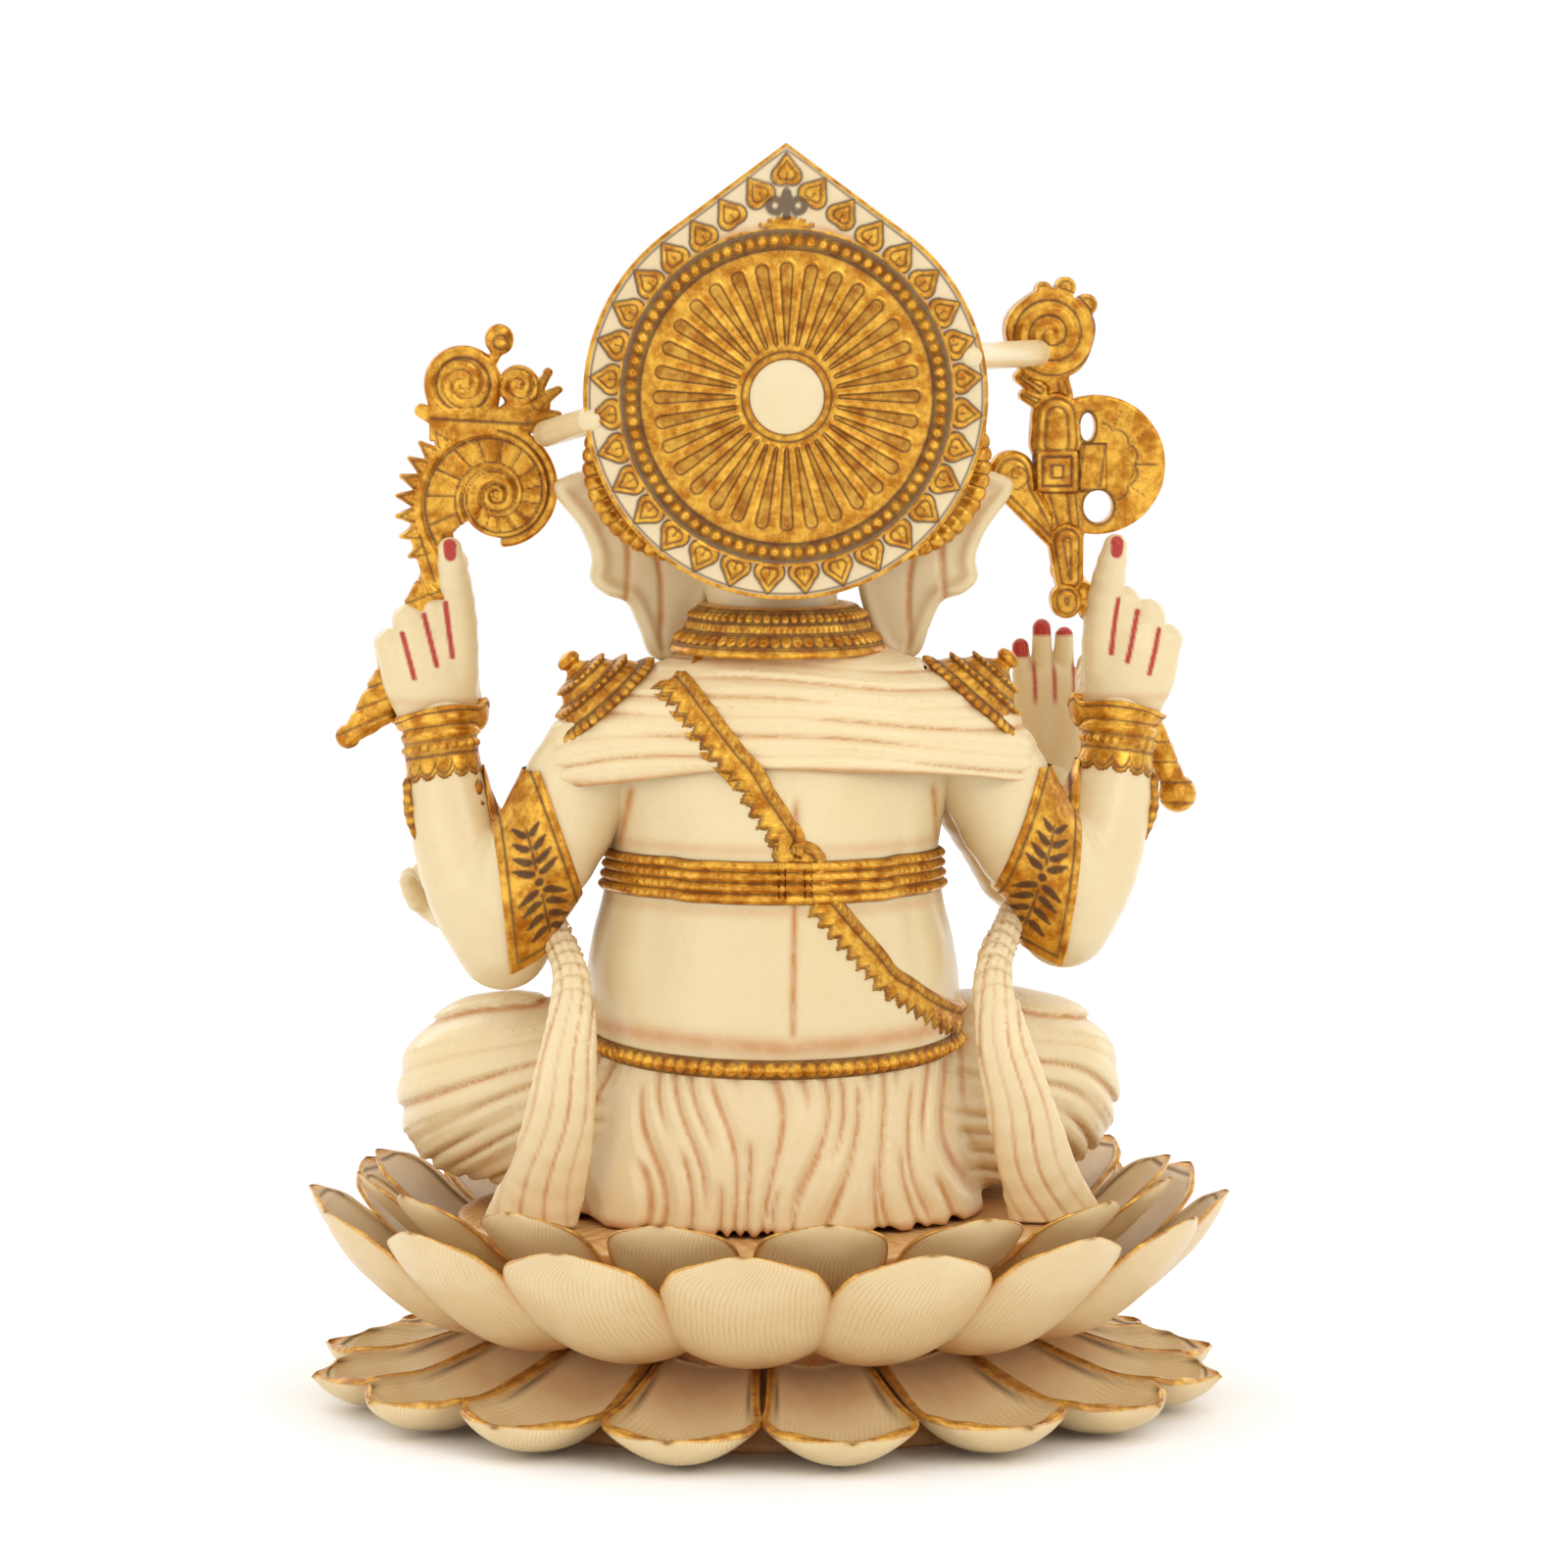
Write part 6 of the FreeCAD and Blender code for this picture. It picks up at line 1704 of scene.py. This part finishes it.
def axe_shapes(p):
    """Distance and ink of the axe: scrolled knob, jointed shaft, square boss, two-eyed blade and hook."""
    u, w = AXE[0] - p[:, 0], p[:, 2] - AXE[1]
    height, ink = 0 * u, 0 * u
    # knob
    knob_r, knob_a = np.hypot(u + 1.5, w - 33), np.arctan2(w - 33, u + 1.5)
    ring = swirl(u + 1.5, w - 33, 3.6, -1)
    d = knob_r - 10.9 - 0.3 * np.sin(knob_a * 5)
    on_knob = knob_r < 11.5
    dome = np.sqrt(np.clip(1 - (knob_r / 11.3) ** 2, 0, 1))
    height = np.where(on_knob, 0.9 * (1 - ring) + 1.6 * dome, height)
    ink = np.where(on_knob, 0.85 * ramp(ring, 0.72, 0.95) * ramp(knob_r, 0.8, 1.8), ink)
    for cu, cw, size in ((2.3, 44.2, 2.5), (7.4, 40.0, 2.6), (-3.0, 43.6, 2.0)):
        bud = disc(u, w, cu, cw, size)
        d = smin(d, bud, 0.4)
        ink = np.maximum(ink, 0.8 * bump_at(bud + 1.0, 0.3) * ~on_knob)
    # jointed shaft
    for a, b, ra, rb in (((-3, 24), (-1, 18), 5.6, 5.2), ((-8.4, 22.6), (-4, 19.5), 1.7, 2.0),
                         ((-7.2, 18.2), (-3, 16), 1.6, 2.0), ((0, 13), (0, 7), 5.8, 6.2),
                         ((0.5, -6), (2.4, -15), 5.4, 4.6), ((2.6, -17), (3.4, -26), 4.3, 3.4),
                         ((2.6, -31), (2.7, -32), 3.7, 3.6)):
        part = stroke(u, w, a, b, ra, rb)
        d = smin(d, part, 0.3)
        inner = (part < 0) & ~on_knob
        outlines = np.maximum(0.8 * bump_at(part + 1.3, 0.3), 0.7 * bump_at(part + 3.3, 0.35))
        ink = np.where(inner, outlines, ink)
        height = np.where(inner, ramp(-part, 0.2, 2.4) - 0.35 * bump_at(part + 3.3, 0.5), height)
    # square boss
    square = np.maximum(np.abs(u), np.abs(w))
    d = smin(d, square - 5.0, 0.3)
    boss = square < 5.0
    ink = np.where(boss, np.maximum(0.9 * bump_at(square - 3.5, 0.35), 0.9 * bump_at(square - 1.5, 0.3)), ink)
    height = np.where(boss, 1.9 - 0.4 * bump_at(square - 3.5, 0.5) + 0.4 * (square < 1.3), height)
    ink = np.maximum(ink, 0.9 * bump_at(square - 5.1, 0.3))
    # blade
    r, a = np.hypot(u - BLADE[0], w - BLADE[1]), np.arctan2(w - BLADE[1], u - BLADE[0])
    blade = np.maximum(r - BLADE[2], 3.5 - u)
    eyes = np.minimum(np.hypot((u - 7.8) / 0.55, w - 10.6) - 3.4, np.hypot((u - 10.4) / 0.92, w + 8.6) - 3.9)
    blade = smax(blade, -eyes, 0.5)
    flute = zigzag(a * 1.75)
    scallop = np.abs(r - 8.6 - 1.5 * np.sqrt(np.clip(1 - flute ** 2, 0, 1)))
    on_blade = (blade < 0) & (u > 5.4) & (d > -0.2)
    grooves = ramp(flute, 0.955, 0.99) * (r > 9.4) * (r < 14.6)
    marks = 0.85 * np.maximum(bump_at(scallop, 0.32) * (u > 11), grooves)
    bars = np.abs(np.abs(u - 8.6 - 0.14 * (w - 1)) - 2.6)
    middle = (u < 12.4) & (np.abs(w - 1) < 5.8)
    frame_marks = 0.9 * np.maximum(bump_at(bars, 0.3), bump_at(np.abs(w - 1) - 5.5, 0.3))
    marks = np.where(middle, frame_marks, marks)
    marks = np.maximum(marks, 0.8 * bump_at(eyes - 0.5, 0.4))
    ink = np.where(on_blade, marks, ink)
    height = np.where(on_blade, 0.5 * (1 - flute) * (r > 9) - 0.5 + 1.1 * middle, height)
    d = smin(d, blade, 0.3)
    # hook
    hook = smin(disc(u, w, -10.6, -0.6, 5.6), stroke(u, w, (-9.5, -4), (-0.5, -16), 4.6, 2.4), 2.5)
    on_hook = (hook < 0) & (square > 5.1) & (u < -1)
    curl = np.hypot(u + 9.6, w + 1)
    ring = swirl(u + 9.6, w + 1, 2.6)
    spiral = ramp(ring, 0.74, 0.95) * (curl < 3.4) * (curl > 0.5)
    marks = np.maximum(0.85 * bump_at(hook + 2.0, 0.3), 0.8 * spiral)
    ink = np.where(on_hook, marks, ink)
    height = np.where(on_hook, 0.8 * ramp(-hook, 0.1, 1.6) - 0.4 * bump_at(hook + 2.0, 0.5), height)
    d = smin(d, hook, 0.3)
    solid = smax(d, np.abs(p[:, 1] + 5) - 3.0 - height, 0.9)
    q = p - vec(LEAN, 0, 0)
    rod = limb(q, [(-68, -5.5, 200), (-76, -8.5, 190), (-86, -12, 172), (-97, -16, 147)],
               [3.0, 3.4, 3.4, 3.2], count=10)
    joint = zigzag(p[:, 2] / 5.0)
    low = p[:, 2] < AXE[1] - 36.5
    ink = np.where(low, 0.7 * (1 - ramp(joint, 0, 0.22)), ink)
    ball = np.linalg.norm(q - vec(-98, -16, 144.5), axis=1) - 4.6
    return smin(smin(solid, rod + 0.35 * (1 - ramp(joint, 0, 0.3)), 0.6), ball, 0.4), ink


def make_emblems():
    for name, shapes, box in (("noose", noose_shapes, ((44, -22, 154), (106, 2, 264))),
                              ("axe", axe_shapes, ((-108, -22, 138), (-50, 4, 274)))):
        sculpt(name + "_skin", lambda p, f=shapes: f(p)[0], box, 0.45, GILT,
               paint=lambda p, f=shapes: paint_of(p, gold=1.0, line=f(p)[1]))
    for name, a, b in (("left", (44.5, 39, 238), (53, 0, 233.5)),
                       ("right", (-44.5, 39, 252.5), (-65, 0, 252.5))):
        box = np.minimum(a, b) - 4.0, np.maximum(a, b) + 4.0
        sculpt(name + "_halo_strut_skin", lambda p, a=a, b=b: bar(p, a, b, 3.2), box, 0.5, SKIN,
               paint=lambda q: paint_of(q, wash=0.25 * bump_at(q[:, 1] - 4, 3.0)))


# --- sweets in the bowl -------------------------------------------------------------------------
def sweets_field(p):
    """Pleated, pointed dumplings heaped in three layers of six, three and one."""
    spots = [(7 * math.cos(k * math.pi / 3), 7 * math.sin(k * math.pi / 3), 6.2) for k in range(6)]
    spots += [(3.6 * math.cos(k * 2.094 + 0.4), 3.6 * math.sin(k * 2.094 + 0.4), 12) for k in range(3)]
    spots += [(0, 0, 16.4)]
    out = None
    for spot in spots:
        q = p - vec(*BOWL) - vec(*spot)
        r = np.hypot(q[:, 0], q[:, 1])
        pleat = 0.22 * np.cos(np.arctan2(q[:, 1], q[:, 0]) * 10) * ramp(q[:, 2], -1.5, 1.5)
        ball = np.linalg.norm(q * vec(1, 1, 1.02), axis=1) - 4.3 + pleat * ramp(r, 0.3, 1.6)
        d = smin(ball, bar(q, (0, 0, 3.0), (0, 0, 5.6), 1.8, 0.7), 1.6)
        out = d if out is None else np.minimum(out, d)
    return out


def make_sweets():
    sculpt("sweets_skin", sweets_field, ((50, -71, 118), (76, -45, 142)), 0.5, SWEET,
           paint=lambda q: paint_of(q, wash=0.35 + 0.3 * waves(q, 7, 4)))


def dress_hidden_parts():
    """Procedural finishes for the CAD nodes that stay: the felt pad and the steel dowels."""
    finish = {"felt_pad": plain("felt", srgb(96, 62, 40), 0.95, 0.0, 0.8, 900),
              "seat_dowels": plain("turned_steel", srgb(176, 178, 182), 0.32, 1.0, 0.15, 700)}
    finish["halo_dowels"] = finish["seat_dowels"]
    for node, material in finish.items():
        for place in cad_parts[node].material_slots:
            place.material = material


make_camera()
make_studio()
make_lotus()
make_halo()
make_body()
make_shawl()
make_arms()
make_straps()
make_turned_pieces()
make_head()
make_ear_bands_and_necklace()
make_emblems()
make_sweets()
dress_hidden_parts()
